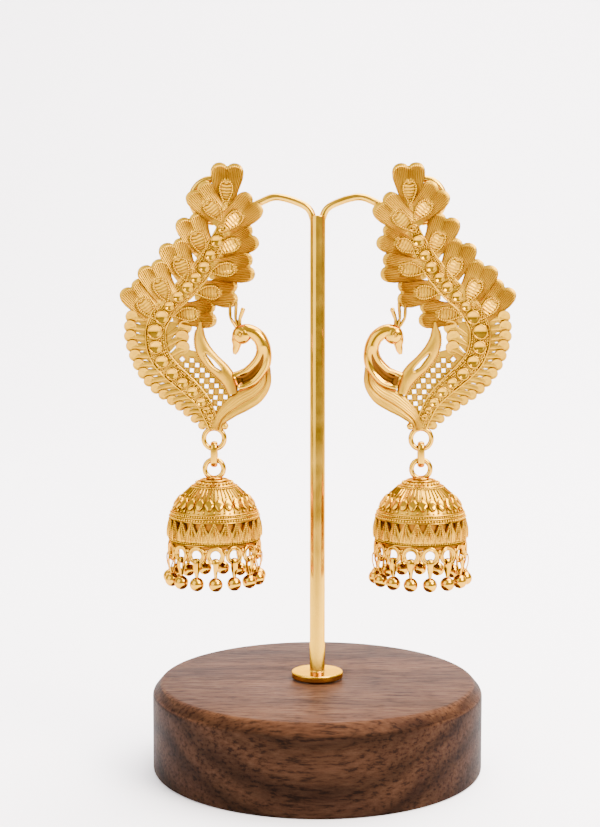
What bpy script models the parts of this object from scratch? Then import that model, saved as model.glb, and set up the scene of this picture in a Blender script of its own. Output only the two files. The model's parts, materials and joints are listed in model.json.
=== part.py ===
"""A mirror pair of gold peacock jhumka earrings hanging on a brass stand with a walnut base.

Metres, +Z up, front towards -Y. The origin is the centre of the base's underside.
"""

import math
from collections import namedtuple

import bmesh
import bpy
from mathutils import Vector
from mathutils.geometry import delaunay_2d_cdt

for old_object in list(bpy.data.objects):
    bpy.data.objects.remove(old_object, do_unlink=True)

MM = 0.001

# Clearances
PART_GAP = 0.30 * MM
LINK_GAP = 0.25 * MM
DROP_GAP = 0.15 * MM

# Stand
BASE_RADIUS = 32.5 * MM
BASE_HEIGHT = 17.2 * MM
BASE_CHAMFER_WIDTH = 1.7 * MM
BASE_CHAMFER_HEIGHT = 2.06 * MM
BASE_FOOT_ROUND = 0.6 * MM
BASE_SIDES = 28
POLE_RADIUS = 1.5 * MM
POLE_SOCKET_DEPTH = 8.0 * MM
FLANGE_RADIUS = 5.05 * MM
FLANGE_THICKNESS = 1.25 * MM
ARM_WIRE_RADIUS = 0.7 * MM
ARM_NOTCH_HEIGHT = 109.4 * MM
ARM_CREST_X = 7.6 * MM
ARM_CREST_HEIGHT = 111.9 * MM
ARM_LOOP_X = 20.4 * MM
ARM_LOOP_HEIGHT = 111.45 * MM
ARM_LOOP_RADIUS = 3.9 * MM

# Ear plate
PLATE_HEIGHT = 53.4 * MM
PLATE_THICKNESS = 0.9 * MM
WEB_THICKNESS = 0.65 * MM
PLATE_RING_RADIUS = 2.0 * MM
PLATE_RING_WIRE = 0.49 * MM
POST_RADIUS = 0.45 * MM
POST_SHARE = 0.8204
POST_OFFSET = 0.25 * MM
POST_LENGTH = 4.4 * MM
NUT_RADIUS = 2.5 * MM
NUT_THICKNESS = 1.5 * MM
NUT_SIDES = 10

# Link and bell
LINK_WIRE_RADIUS = 0.45 * MM
BELL_RING_RADIUS = 1.825 * MM
BELL_RING_WIRE = 0.505 * MM
LINK_LENGTH = 4.5 * MM
BELL_RADIUS = 9.3 * MM
BELL_HEIGHT = 12.6 * MM
BELL_WALL = 0.75 * MM
BELL_RING_SINK = 0.35 * MM
BELL_SIDES = 22
HOOP_COUNT = 15
HOOP_RADIUS = 1.4 * MM
HOOP_WIRE = 0.3 * MM
HOOP_SINK = 0.6 * MM
DROP_BALL_RADIUS = 1.25 * MM
DROP_BAIL_WIRE = 0.25 * MM
DROP_LENGTH = 6.35 * MM
BELL_TURN = {"left": 10.9, "right": 14.5}

# Heights of the plate's relief over its flat back
LEAF_RISE = 0.35 * MM
PAD_RISE = 0.35 * MM
SPINE_RISE = 0.25 * MM
CUP_RISE = 0.55 * MM
WING_RISE = 0.75 * MM
NECK_RISE = 1.25 * MM
TAIL_RISE = 0.7 * MM
FLAT_ANGLE = math.radians(10.0)
MERGE_SHARE = 0.2
SOLDER_REACH = 0.8
FUSED_ANGLE = math.radians(2.0)

# The ear post lies on the foot of the arm's loop, and the plate hangs from it.
POST_HEIGHT = ARM_LOOP_HEIGHT - ARM_LOOP_RADIUS + ARM_WIRE_RADIUS + PART_GAP + POST_RADIUS
PLATE_RING_HEIGHT = POST_HEIGHT - PLATE_HEIGHT * POST_SHARE
EARRING_X = ARM_LOOP_X - POST_OFFSET
ARM_PLANE = 0.0
PLATE_BACK = -(ARM_WIRE_RADIUS + PART_GAP)
RING_PLANE = PLATE_BACK - PLATE_THICKNESS * 0.55

# Places on the plate are shares of PLATE_HEIGHT, counted in hundredths from the lower ring's
# centre: x towards the pole, z up. Widths and radii are the same shares.
SHARE = PLATE_HEIGHT / 100.0

Leaf = namedtuple("Leaf", "root_x root_z tip_x tip_z width")
LEAVES = (
    Leaf(4.5, 83.8, 5.3, 99.3, 11.6),
    Leaf(3.3, 78.3, -6.3, 90.6, 11.4),
    Leaf(3.1, 74.6, 15.2, 86.2, 11.4),
    Leaf(-3.4, 66.0, -8.9, 80.6, 11.6),
    Leaf(-9.6, 56.6, -14.9, 71.5, 11.6),
    Leaf(-16.4, 49.0, -22.9, 63.6, 11.6),
    Leaf(-21.0, 43.0, -30.4, 55.8, 11.4),
    Leaf(1.0, 67.0, 14.9, 74.3, 10.6),
    Leaf(-1.6, 60.2, 14.4, 62.7, 10.8),
    Leaf(-6.8, 52.8, 8.6, 53.2, 10.8),
    Leaf(-14.8, 44.6, 0.7, 45.9, 10.6),
)

Station = namedtuple("Station", "x z width")
SPINE = (
    Station(4.6, 86.0, 1.8),
    Station(3.7, 78.8, 2.6),
    Station(1.5, 71.3, 4.2),
    Station(-3.2, 62.8, 5.2),
    Station(-9.1, 55.4, 5.6),
    Station(-15.8, 49.0, 6.2),
    Station(-20.2, 42.2, 7.2),
    Station(-21.0, 36.4, 7.4),
    Station(-19.4, 29.9, 7.2),
    Station(-15.0, 24.4, 6.8),
    Station(-8.6, 18.6, 6.0),
    Station(-3.9, 13.4, 5.0),
    Station(-1.0, 7.3, 4.4),
    Station(0.2, 3.6, 3.6),
)
WING = (
    Station(-4.6, 42.6, 1.4),
    Station(-5.0, 37.1, 4.0),
    Station(-3.5, 32.1, 5.6),
    Station(-0.3, 27.8, 6.2),
    Station(3.1, 24.5, 6.2),
    Station(5.7, 20.9, 5.4),
    Station(7.0, 16.3, 3.6),
)
NECK = (
    Station(8.2, 20.6, 7.6),
    Station(13.2, 22.6, 7.8),
    Station(17.2, 27.3, 7.0),
    Station(18.2, 32.4, 5.4),
    Station(16.6, 36.8, 5.0),
    Station(13.4, 39.0, 5.0),
    Station(10.4, 38.9, 5.2),
    Station(8.5, 37.4, 3.4),
)
BEAK = (
    Station(9.6, 37.2, 2.6),
    Station(8.7, 34.2, 1.6),
    Station(7.8, 31.2, 0.8),
)
CRESTS = (
    (Station(8.9, 39.6, 1.0), Station(6.2, 44.0, 1.0), Station(6.0, 49.4, 1.0)),
    (Station(9.2, 39.8, 1.0), Station(8.0, 43.8, 1.0), Station(8.3, 49.4, 1.2)),
    (Station(9.6, 39.8, 1.2), Station(9.5, 43.4, 1.2), Station(10.6, 46.6, 1.6)),
)
TAIL = (
    Station(18.8, 26.2, 3.6),
    Station(18.2, 20.4, 5.4),
    Station(14.9, 16.5, 7.6),
    Station(10.3, 13.8, 8.2),
    Station(5.8, 10.6, 6.6),
    Station(2.4, 7.3, 5.0),
    Station(1.0, 3.3, 3.8),
)

Disc = namedtuple("Disc", "x z radius")
CUPS = (
    Disc(1.4, 71.6, 2.1),
    Disc(-0.9, 66.4, 1.9),
    Disc(-3.2, 62.2, 2.0),
    Disc(-6.2, 58.4, 1.9),
    Disc(-9.1, 55.0, 2.0),
    Disc(-12.6, 51.6, 1.9),
    Disc(-18.5, 44.2, 2.5),
    Disc(-21.1, 39.0, 2.7),
    Disc(-20.9, 33.4, 2.4),
    Disc(-18.7, 28.1, 2.3),
    Disc(-15.0, 23.7, 2.2),
    Disc(-11.2, 20.4, 1.9),
    Disc(-7.6, 17.2, 1.9),
)
TAIL_BALL = Disc(4.0, 4.6, 1.3)

# The barbs' round ends follow the outer curve; the inner three follow their own.
BARB_COUNT = 15
BARB_CURVE = (
    Station(-29.6, 44.4, 3.7),
    Station(-30.3, 38.4, 3.7),
    Station(-28.9, 31.5, 3.6),
    Station(-26.0, 24.6, 3.4),
    Station(-21.2, 18.5, 3.2),
    Station(-15.5, 14.2, 3.0),
    Station(-10.1, 10.2, 2.8),
    Station(-4.2, 4.9, 2.6),
)
INNER_BARBS = (Disc(-10.4, 40.6, 2.0), Disc(-11.4, 37.0, 2.0), Disc(-11.2, 33.2, 2.0))
INNER_WEB_TOP = ((-17.0, 42.6), (-11.0, 43.0))
INNER_WEB_FOOT = ((-12.6, 30.2), (-14.8, 28.2), (-18.4, 33.0))
# An inner barb's slot, counted from its disc
Slot = namedtuple("Slot", "start_x start_z end_x end_z")
INNER_SLOT = Slot(-4.9, -1.9, -1.1, 1.0)
BARB_SLOT_WIDTH = 1.25
SCALLOP_ANGLES = (-80.0, 0.0, 80.0)

NET_EDGE = (
    (-14.6, 29.6), (-9.6, 32.6), (-4.4, 31.4), (1.0, 22.4), (7.0, 14.6), (5.6, 9.4),
    (1.6, 4.6), (-3.6, 10.4), (-8.4, 17.2),
)
NetRow = namedtuple("NetRow", "start_x start_z end_x end_z bow count")
NET_ROWS = (
    NetRow(-7.9, 28.6, 4.2, 15.2, 0.5, 8),
    NetRow(-9.8, 26.8, 2.1, 12.9, 0.5, 8),
    NetRow(-11.2, 24.6, 0.3, 11.2, 0.5, 7),
    NetRow(-11.4, 29.0, -11.4, 29.0, 0.0, 1),
)
NET_HOLE = 1.7

WING_SLOT = ((-2.9, 31.0), (2.9, 24.8), 0.75)

# The bell's outer wall from its cap down: shares of BELL_RADIUS and BELL_HEIGHT; the flute is
# the share of the radius by which every second rib stands out.
Section = namedtuple("Section", "radius height flute")
BELL_SECTIONS = (
    Section(0.13, 1.00, 0.0),
    Section(0.31, 0.97, 0.0),
    Section(0.54, 0.835, 0.0),
    Section(0.74, 0.675, 0.018),
    Section(0.865, 0.50, 0.0),
    Section(0.925, 0.435, 0.0),
    Section(0.975, 0.235, 0.014),
    Section(1.00, 0.10, 0.0),
    Section(0.985, 0.00, 0.0),
)
BELL_INSIDE_SHARES = (0.0, 0.55)
BELL_HOLE_HEIGHT = 0.30
BELL_HOLE_WIDTH = 0.95 * MM
BELL_HOLE_LENGTH = 1.35 * MM


def make_material(name, colour, roughness, metallic):
    """One Principled surface with the part's colour."""
    material = bpy.data.materials.new(name)
    material.use_nodes = True
    shader = material.node_tree.nodes["Principled BSDF"]
    shader.inputs["Base Color"].default_value = (*colour, 1.0)
    shader.inputs["Roughness"].default_value = roughness
    shader.inputs["Metallic"].default_value = metallic
    return material


def gold_material(name):
    return make_material(name, (0.69, 0.37, 0.055), 0.32, 1.0)


def brass_material(name):
    return make_material(name, (0.57, 0.32, 0.06), 0.25, 1.0)


def walnut_material(name):
    return make_material(name, (0.16, 0.085, 0.045), 0.55, 0.0)


def place(name, mesh, material, location=(0, 0, 0), parent=None, turn=0.0):
    """A named object at a place in its parent's frame, with one material."""
    part = bpy.data.objects.new(name, mesh)
    bpy.context.scene.collection.objects.link(part)
    part.parent = parent
    part.location = location
    part.rotation_euler.z = turn
    if not mesh.materials:
        mesh.materials.append(material)
    mesh.shade_smooth()
    mesh.set_sharp_from_angle(angle=math.radians(38.0))
    return part


def hinge(name, location, parent=None):
    """An empty on a joint's axis."""
    empty = bpy.data.objects.new(name, None)
    bpy.context.scene.collection.objects.link(empty)
    empty.empty_display_size = 2.0 * MM
    empty.parent = parent
    empty.location = location
    return empty


def mesh_from(form, name):
    """Turn a bmesh into a mesh with its faces pointing out."""
    bmesh.ops.recalc_face_normals(form, faces=form.faces)
    mesh = bpy.data.meshes.new(name)
    form.to_mesh(mesh)
    form.free()
    return mesh


def fuse(name, meshes, operation="UNION"):
    """Solder solids into one, or cut the later ones out of the first."""
    target = bpy.data.objects.new(name, meshes[0])
    bpy.context.scene.collection.objects.link(target)
    helpers = []
    for number, mesh in enumerate(meshes[1:]):
        helper = bpy.data.objects.new(f"{name}_helper_{number}", mesh)
        bpy.context.scene.collection.objects.link(helper)
        modifier = target.modifiers.new(f"fuse_{number}", "BOOLEAN")
        modifier.operation = operation
        modifier.solver = "EXACT"
        modifier.object = helper
        helpers.append(helper)
    graph = bpy.context.evaluated_depsgraph_get()
    form = bmesh.new()
    form.from_mesh(target.evaluated_get(graph).data)
    bmesh.ops.dissolve_limit(form, angle_limit=FUSED_ANGLE, verts=form.verts, edges=form.edges)
    result = mesh_from(form, name)
    for helper in helpers + [target]:
        bpy.data.objects.remove(helper, do_unlink=True)
    return result


def revolve(profile, sides, flutes=None, name="turned"):
    """Turn a profile of (radius, height) round Z; ends on the axis become single points."""
    form = bmesh.new()
    rings = []
    for row, (radius, height) in enumerate(profile):
        if radius == 0.0:
            rings.append([form.verts.new((0.0, 0.0, height))])
            continue
        ring = []
        for side in range(sides):
            angle = math.tau * side / sides
            wave = flutes[row] if flutes else 0.0
            reach = radius * (1.0 + (wave if side % 2 else -wave))
            ring.append(form.verts.new((reach * math.cos(angle), reach * math.sin(angle), height)))
        rings.append(ring)
    for upper, lower in zip(rings, rings[1:]):
        for side in range(sides):
            after = (side + 1) % sides
            if len(upper) == 1:
                form.faces.new((upper[0], lower[side], lower[after]))
            elif len(lower) == 1:
                form.faces.new((upper[after], upper[side], lower[0]))
            else:
                form.faces.new((upper[after], upper[side], lower[side], lower[after]))
    return mesh_from(form, name)


def bent_wire(path, radius, sides, normal, closed, name="wire"):
    """Sweep a round wire along a flat path whose plane has this normal."""
    form = bmesh.new()
    rings = []
    count = len(path)
    for index, point in enumerate(path):
        before = path[(index - 1) % count] if closed or index else path[0]
        after = path[(index + 1) % count] if closed or index < count - 1 else path[-1]
        along = (Vector(after) - Vector(before)).normalized()
        across = along.cross(Vector(normal)).normalized()
        ring = []
        for side in range(sides):
            angle = math.tau * (side + 0.5) / sides
            offset = across * math.cos(angle) + Vector(normal) * math.sin(angle)
            ring.append(form.verts.new(Vector(point) + offset * radius))
        rings.append(ring)
    pairs = list(zip(rings, rings[1:]))
    if closed:
        pairs.append((rings[-1], rings[0]))
    for first, second in pairs:
        for side in range(sides):
            after = (side + 1) % sides
            form.faces.new((first[side], first[after], second[after], second[side]))
    if not closed:
        form.faces.new(rings[0])
        form.faces.new(rings[-1])
    return mesh_from(form, name)


def circle_path(centre, radius, steps, plane):
    """Points round a circle in the XZ or the YZ plane."""
    points = []
    for step in range(steps):
        angle = math.tau * (step + 0.5) / steps
        across = radius * math.cos(angle)
        up = radius * math.sin(angle)
        if plane == "XZ":
            points.append((centre[0] + across, centre[1], centre[2] + up))
        else:
            points.append((centre[0], centre[1] + across, centre[2] + up))
    return points


def oval_path(top, bottom, half_width, steps):
    """A long link's centre line in the YZ plane, two half circles joined by straight sides."""
    points = []
    for end, start in ((top - half_width, 0.0), (bottom + half_width, math.pi)):
        for step in range(steps // 2):
            angle = start + math.pi * step / (steps // 2 - 1)
            points.append((0.0, half_width * math.cos(angle), end + half_width * math.sin(angle)))
    return points


def bail_path(top, bottom, half_width):
    """A bail's centre line in the YZ plane: a half circle over two legs that end in the ball."""
    legs = half_width * 0.6
    points = [(0.0, legs, bottom)]
    for step in range(5):
        angle = math.pi * step / 4
        rise = top - half_width + half_width * math.sin(angle)
        points.append((0.0, half_width * math.cos(angle), rise))
    return points + [(0.0, -legs, bottom)]


def smooth_path(points, steps):
    """A Catmull-Rom curve through points of any number of values."""
    count = len(points)
    result = []
    for index in range(count - 1):
        ends = [points[max(0, min(count - 1, index + offset))] for offset in (-1, 0, 1, 2)]
        for step in range(steps):
            share = step / steps
            value = []
            for a, b, c, d in zip(*ends):
                slope = (c - a) * share
                bend = (2 * a - 5 * b + 4 * c - d) * share ** 2
                twist = (3 * b - a - 3 * c + d) * share ** 3
                value.append(0.5 * (2 * b + slope + bend + twist))
            result.append(tuple(value))
    result.append(tuple(points[-1]))
    return result


def spaced(points, count):
    """Even places along a curve, with every value interpolated."""
    lengths = [0.0]
    for first, second in zip(points, points[1:]):
        lengths.append(lengths[-1] + math.dist(first[:2], second[:2]))
    places = []
    for number in range(count):
        target = lengths[-1] * number / max(1, count - 1)
        index = max(i for i, length in enumerate(lengths[:-1]) if length <= target + 1e-12)
        share = (target - lengths[index]) / (lengths[index + 1] - lengths[index])
        places.append(tuple(a + (b - a) * share for a, b in zip(points[index], points[index + 1])))
    return places


class Band:
    """A strip along a curve, rounded across, such as a neck, a wing or a wire."""

    def __init__(self, stations, edge, rise, steps=2, creases=(0.0,)):
        self.line = smooth_path(stations, steps)
        self.edge = edge
        self.rise = rise
        self.outline = self.side(1.0) + self.side(-1.0)[::-1]
        self.creases = [self.side(share) for share in creases]

    def side(self, share):
        points = []
        for index, (x, z, width) in enumerate(self.line):
            before = self.line[max(0, index - 1)]
            after = self.line[min(len(self.line) - 1, index + 1)]
            length = math.dist(before[:2], after[:2])
            offset = 0.5 * width * share / length
            points.append((x - (after[1] - before[1]) * offset, z + (after[0] - before[0]) * offset))
        return points

    def height(self, x, z):
        best = None
        for (ax, az, aw), (bx, bz, bw) in zip(self.line, self.line[1:]):
            run = (bx - ax) ** 2 + (bz - az) ** 2
            share = ((x - ax) * (bx - ax) + (z - az) * (bz - az)) / run
            share = max(0.0, min(1.0, share))
            apart = math.dist((x, z), (ax + (bx - ax) * share, az + (bz - az) * share))
            ratio = apart / (0.5 * (aw + (bw - aw) * share))
            if best is None or ratio < best:
                best = ratio
        if best > 1.04:
            return 0.0
        return self.edge + self.rise * math.sqrt(max(0.0, 1.0 - min(1.0, best) ** 2))


class RoundCup:
    """A flat round setting with a sloping side."""

    def __init__(self, disc, edge, rise, sides=6, top=0.62):
        self.disc = disc
        self.edge = edge
        self.rise = rise
        self.top = top
        self.outline = self.circle(1.0, sides)
        self.creases = [self.circle(top, sides, True)] if top else []

    def circle(self, share, sides, closed=False):
        points = []
        for side in range(sides + (1 if closed else 0)):
            angle = math.tau * (side % sides + 0.25) / sides
            reach = self.disc.radius * share
            points.append((self.disc.x + reach * math.cos(angle), self.disc.z + reach * math.sin(angle)))
        return points

    def height(self, x, z):
        apart = math.dist((x, z), (self.disc.x, self.disc.z)) / self.disc.radius
        if apart > 1.04:
            return 0.0
        slope = (1.0 - apart) / (1.0 - self.top) if self.top else 0.0
        return self.edge + self.rise * max(0.0, min(1.0, slope))


# Half of a heart-shaped leaf: shares of its length and of its half width
LEAF_SIDE = ((0.0, 0.22), (0.34, 0.70), (0.66, 1.0), (0.88, 0.92), (1.0, 0.50))
LEAF_NOTCH = 0.945
PAD_TOP = ((0.24, 0.0), (0.56, 0.22), (0.56, -0.22))


class HeartLeaf:
    """A domed two-lobed leaf that carries a raised drop-shaped pad."""

    def __init__(self, leaf):
        self.leaf = leaf
        self.root = Vector((leaf.root_x, leaf.root_z))
        self.along = Vector((leaf.tip_x, leaf.tip_z)) - self.root
        self.across = Vector((-self.along.y, self.along.x)).normalized() * leaf.width * 0.5
        self.outline = self.loop(LEAF_SIDE, LEAF_NOTCH)
        self.top = [tuple(self.at(*point)) for point in PAD_TOP]
        self.creases = [self.top + self.top[:1]]

    def at(self, share, side):
        return self.root + self.along * share + self.across * side

    def loop(self, side_points, tip):
        right = [tuple(self.at(share, side)) for share, side in side_points]
        left = [tuple(self.at(share, -side)) for share, side in side_points]
        return right + [tuple(self.at(tip, 0.0))] + left[::-1]

    def height(self, x, z):
        point = Vector((x, z))
        if not inside((x, z), self.outline, 0.05):
            return 0.0
        away = point - self.root
        share = away.dot(self.along) / self.along.length_squared
        side = abs(away.dot(self.across)) / self.across.length_squared
        dome = max(0.0, 1.0 - side ** 2) * math.sin(math.pi * max(0.0, min(1.0, share)))
        value = PLATE_THICKNESS + LEAF_RISE * dome
        if inside((x, z), self.top, 0.05):
            value += PAD_RISE
        return value


def inside(point, outline, slack):
    """Whether a point is in an outline, or within the slack of its edge."""
    x, z = point
    crossed = False
    for (ax, az), (bx, bz) in zip(outline, outline[1:] + outline[:1]):
        run = (bx - ax) ** 2 + (bz - az) ** 2
        share = max(0.0, min(1.0, ((x - ax) * (bx - ax) + (z - az) * (bz - az)) / run))
        if math.dist((x, z), (ax + (bx - ax) * share, az + (bz - az) * share)) < slack:
            return True
        if (az > z) != (bz > z) and x < ax + (bx - ax) * (z - az) / (bz - az):
            crossed = not crossed
    return crossed


def area(outline):
    """Twice the signed area, positive where the outline turns left."""
    pairs = zip(outline, outline[1:] + outline[:1])
    return sum(a[0] * b[1] - b[0] * a[1] for a, b in pairs)


class Web:
    """A flat web between raised forms."""

    def __init__(self, outline):
        self.outline = outline
        self.creases = []

    def height(self, x, z):
        return WEB_THICKNESS if inside((x, z), self.outline, 0.05) else 0.0


def slot_loop(start, end, half_width):
    """A drop-shaped opening from its pointed end to its round end."""
    a = Vector(start)
    b = Vector(end)
    along = b - a
    across = Vector((-along.y, along.x)).normalized() * half_width
    return [
        tuple(a),
        tuple(a + along * 0.7 - across),
        tuple(b),
        tuple(a + along * 0.7 + across),
    ]


def scallops(ends, spine):
    """A scalloped edge: three points round each barb's end."""
    outline = []
    for end, (x, z, width) in zip(ends, spine):
        outward = (Vector((end.x, end.z)) - Vector((x, z))).normalized()
        for angle in SCALLOP_ANGLES:
            cosine = math.cos(math.radians(angle))
            sine = math.sin(math.radians(angle))
            turned = Vector((outward.x * cosine - outward.y * sine, outward.x * sine + outward.y * cosine))
            outline.append(tuple(Vector((end.x, end.z)) + turned * end.radius))
    return outline


def barb_forms():
    """Round barb ends along the outer curve, the web that carries them and its openings."""
    ends = [Disc(x, z, width * 0.5) for x, z, width in spaced(smooth_path(BARB_CURVE, 4), BARB_COUNT)]
    spine = spaced(smooth_path(SPINE[6:], 4), BARB_COUNT)
    forms = [Web(scallops(ends, spine) + [(x, z) for x, z, width in SPINE[:5:-1]])]
    slots = []
    for index in range(BARB_COUNT - 1):
        outer = Vector((ends[index].x + ends[index + 1].x, ends[index].z + ends[index + 1].z)) * 0.5
        x, z, width = spine[index + 1]
        root = Vector((x, z))
        away = (outer - root).normalized()
        start = root + away * (width * 0.5 + 0.55)
        end = outer - away * (ends[index].radius * 0.85)
        room = math.dist((ends[index].x, ends[index].z), (ends[index + 1].x, ends[index + 1].z))
        slots.append(slot_loop(start, end, min(BARB_SLOT_WIDTH * 0.5, room * 0.2)))
    return forms, slots


def inner_barb_forms():
    """Three small barbs between the spine and the wing."""
    outline = list(INNER_WEB_TOP) + [(disc.x, disc.z) for disc in INNER_BARBS] + list(INNER_WEB_FOOT)
    forms = [Web(outline)]
    slots = []
    for disc in INNER_BARBS:
        forms.append(RoundCup(disc, PLATE_THICKNESS, 0.0, 6, 0.0))
        start = (disc.x + INNER_SLOT.start_x, disc.z + INNER_SLOT.start_z)
        end = (disc.x + INNER_SLOT.end_x, disc.z + INNER_SLOT.end_z)
        slots.append(slot_loop(start, end, BARB_SLOT_WIDTH * 0.5))
    return forms, slots


def net_holes():
    """Square holes set on their corners, in rows that follow the wing."""
    holes = []
    for row in NET_ROWS:
        run = Vector((row.end_x - row.start_x, row.end_z - row.start_z))
        across = Vector((-run.y, run.x)).normalized() if run.length else Vector((0.0, 1.0))
        along = run.normalized() if run.length else Vector((1.0, 0.0))
        for number in range(row.count):
            share = number / max(1, row.count - 1)
            swell = row.bow * 4.0 * share * (1.0 - share)
            centre = Vector((row.start_x, row.start_z)) + run * share + across * swell
            reach = NET_HOLE * 0.62
            corners = (along * reach, across * reach, along * -reach, across * -reach)
            holes.append([tuple(centre + corner) for corner in corners])
    return holes


def plate_forms():
    """All raised forms and all openings of the ear plate."""
    forms = [HeartLeaf(leaf) for leaf in LEAVES]
    forms.append(Band(SPINE, PLATE_THICKNESS, SPINE_RISE, 1, ()))
    forms += [RoundCup(cup, PLATE_THICKNESS + SPINE_RISE, CUP_RISE) for cup in CUPS]
    barbs, slots = barb_forms()
    inner_barbs, inner_slots = inner_barb_forms()
    forms += barbs + inner_barbs
    forms.append(Web(list(NET_EDGE)))
    forms.append(Band(WING, PLATE_THICKNESS, WING_RISE, 2))
    forms.append(Band(TAIL, PLATE_THICKNESS, TAIL_RISE, 1))
    forms.append(Band(NECK, PLATE_THICKNESS, NECK_RISE, 2, (0.25,)))
    forms.append(Band(BEAK, PLATE_THICKNESS, WING_RISE * 0.6, 1))
    forms += [Band(crest, PLATE_THICKNESS, 0.2 * MM, 1, ()) for crest in CRESTS]
    forms.append(RoundCup(TAIL_BALL, PLATE_THICKNESS, CUP_RISE, 6, 0.5))
    start, end, half_width = WING_SLOT
    openings = slots + inner_slots + net_holes() + [slot_loop(start, end, half_width)]
    return forms, openings


def flat_triangles(forms, openings):
    """Triangles inside any form and outside every opening, with their shared corner points."""
    points = []
    edges = []
    faces = []
    for loop in [form.outline for form in forms] + openings:
        indices = list(range(len(points), len(points) + len(loop)))
        points.extend(Vector(point) for point in loop)
        faces.append(indices if area(loop) > 0.0 else indices[::-1])
    for form in forms:
        for crease in form.creases:
            indices = range(len(points), len(points) + len(crease))
            points.extend(Vector(point) for point in crease)
            edges.extend(zip(indices, indices[1:]))
    result = delaunay_2d_cdt(points, edges, faces, 0, MERGE_SHARE, True)
    flat, triangles, sources = result[0], result[2], result[5]
    kept = []
    for triangle, source in zip(triangles, sources):
        if source and max(source) < len(forms):
            a, b, c = (flat[index] for index in triangle)
            kept.append(triangle if (b - a).cross(c - a) > 0.0 else triangle[::-1])
    return flat, kept


def border_edges(triangles):
    """Edges that only one triangle uses, in that triangle's direction."""
    border = set()
    for triangle in triangles:
        for first, second in zip(triangle, triangle[1:] + triangle[:1]):
            if (second, first) in border:
                border.remove((second, first))
            else:
                border.add((first, second))
    return sorted(border)


def plate_sheet():
    """The pierced sheet: all outlines in one flat triangulation, raised by each form's height.

    Where two outlines meet in a single point, a small web of solder fills the corner.
    """
    forms, openings = plate_forms()
    while True:
        flat, triangles = flat_triangles(forms, openings)
        border = border_edges(triangles)
        starts = [first for first, second in border]
        pinches = sorted({index for index in starts if starts.count(index) > 1})
        if not pinches:
            break
        for index in pinches:
            x, z = flat[index]
            reach = SOLDER_REACH
            forms.append(Web([(x - reach, z), (x, z - reach), (x + reach, z), (x, z + reach)]))

    sheet = bmesh.new()
    front = {}
    back = {}
    for index in sorted({index for triangle in triangles for index in triangle}):
        x, z = flat[index]
        height = max([WEB_THICKNESS] + [form.height(x, z) for form in forms])
        front[index] = sheet.verts.new((x * SHARE, PLATE_BACK - height, z * SHARE))
        back[index] = sheet.verts.new((x * SHARE, PLATE_BACK, z * SHARE))
    for triangle in triangles:
        sheet.faces.new([front[index] for index in triangle])
        sheet.faces.new([back[index] for index in reversed(triangle)])
    for first, second in border:
        sheet.faces.new((front[second], front[first], back[first], back[second]))
    bmesh.ops.dissolve_limit(sheet, angle_limit=FLAT_ANGLE, verts=sheet.verts, edges=sheet.edges)
    return mesh_from(sheet, "plate_sheet")


def plate_mesh():
    """The left plate in the ring's frame: sheet, lower ring and ear post soldered together."""
    sheet = plate_sheet()
    ring_path = circle_path((0.0, RING_PLANE, 0.0), PLATE_RING_RADIUS, 12, "XZ")
    ring = bent_wire(ring_path, PLATE_RING_WIRE, 5, (0, 1, 0), True)
    start = (-POST_OFFSET, PLATE_BACK - PLATE_THICKNESS * 0.5, PLATE_HEIGHT * POST_SHARE)
    end = (start[0], start[1] + POST_LENGTH, start[2])
    post = bent_wire([start, end], POST_RADIUS, 8, (0, 0, 1), False)
    return fuse("ear_plate", [sheet, ring, post])


def mirrored(mesh, name):
    """The same mesh for the other ear."""
    form = bmesh.new()
    form.from_mesh(mesh)
    for vertex in form.verts:
        vertex.co.x = -vertex.co.x
    bmesh.ops.reverse_faces(form, faces=form.faces)
    copy = bpy.data.meshes.new(name)
    form.to_mesh(copy)
    form.free()
    return copy


def base_mesh():
    """A turned disc with a chamfered upper edge and a blind socket for the pole."""
    socket = POLE_RADIUS + PART_GAP
    profile = [
        (0.0, BASE_HEIGHT - POLE_SOCKET_DEPTH - PART_GAP),
        (socket, BASE_HEIGHT - POLE_SOCKET_DEPTH - PART_GAP),
        (socket, BASE_HEIGHT),
        (BASE_RADIUS - BASE_CHAMFER_WIDTH, BASE_HEIGHT),
        (BASE_RADIUS, BASE_HEIGHT - BASE_CHAMFER_HEIGHT),
        (BASE_RADIUS, BASE_FOOT_ROUND),
        (BASE_RADIUS - BASE_FOOT_ROUND, 0.0),
        (0.0, 0.0),
    ]
    return revolve(profile, BASE_SIDES)


def arm_path(sense):
    """One arm's centre line: out of the pole, over its crest and round its end loop."""
    notch = ARM_NOTCH_HEIGHT
    crest = ARM_CREST_HEIGHT
    loop_foot = ARM_LOOP_HEIGHT - ARM_LOOP_RADIUS
    reach = ARM_LOOP_X - ARM_CREST_X
    guide = [
        (0.8 * MM, notch - 4.0 * MM),
        (0.9 * MM, notch - 1.6 * MM),
        (ARM_CREST_X * 0.32, notch + (crest - notch) * 0.32),
        (ARM_CREST_X, crest),
        (ARM_CREST_X + reach * 0.28, loop_foot + (crest - loop_foot) * 0.76),
        (ARM_CREST_X + reach * 0.60, loop_foot + (crest - loop_foot) * 0.24),
        (ARM_LOOP_X - ARM_LOOP_RADIUS * 0.35, loop_foot + ARM_LOOP_RADIUS * 0.02),
    ]
    points = smooth_path(guide, 2)
    steps = 10
    for step in range(steps):
        angle = math.radians(-78.0 + 270.0 * step / (steps - 1))
        x = ARM_LOOP_X + ARM_LOOP_RADIUS * math.cos(angle)
        points.append((x, ARM_LOOP_HEIGHT + ARM_LOOP_RADIUS * math.sin(angle)))
    return [(sense * x, ARM_PLANE, z) for x, z in points]


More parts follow.
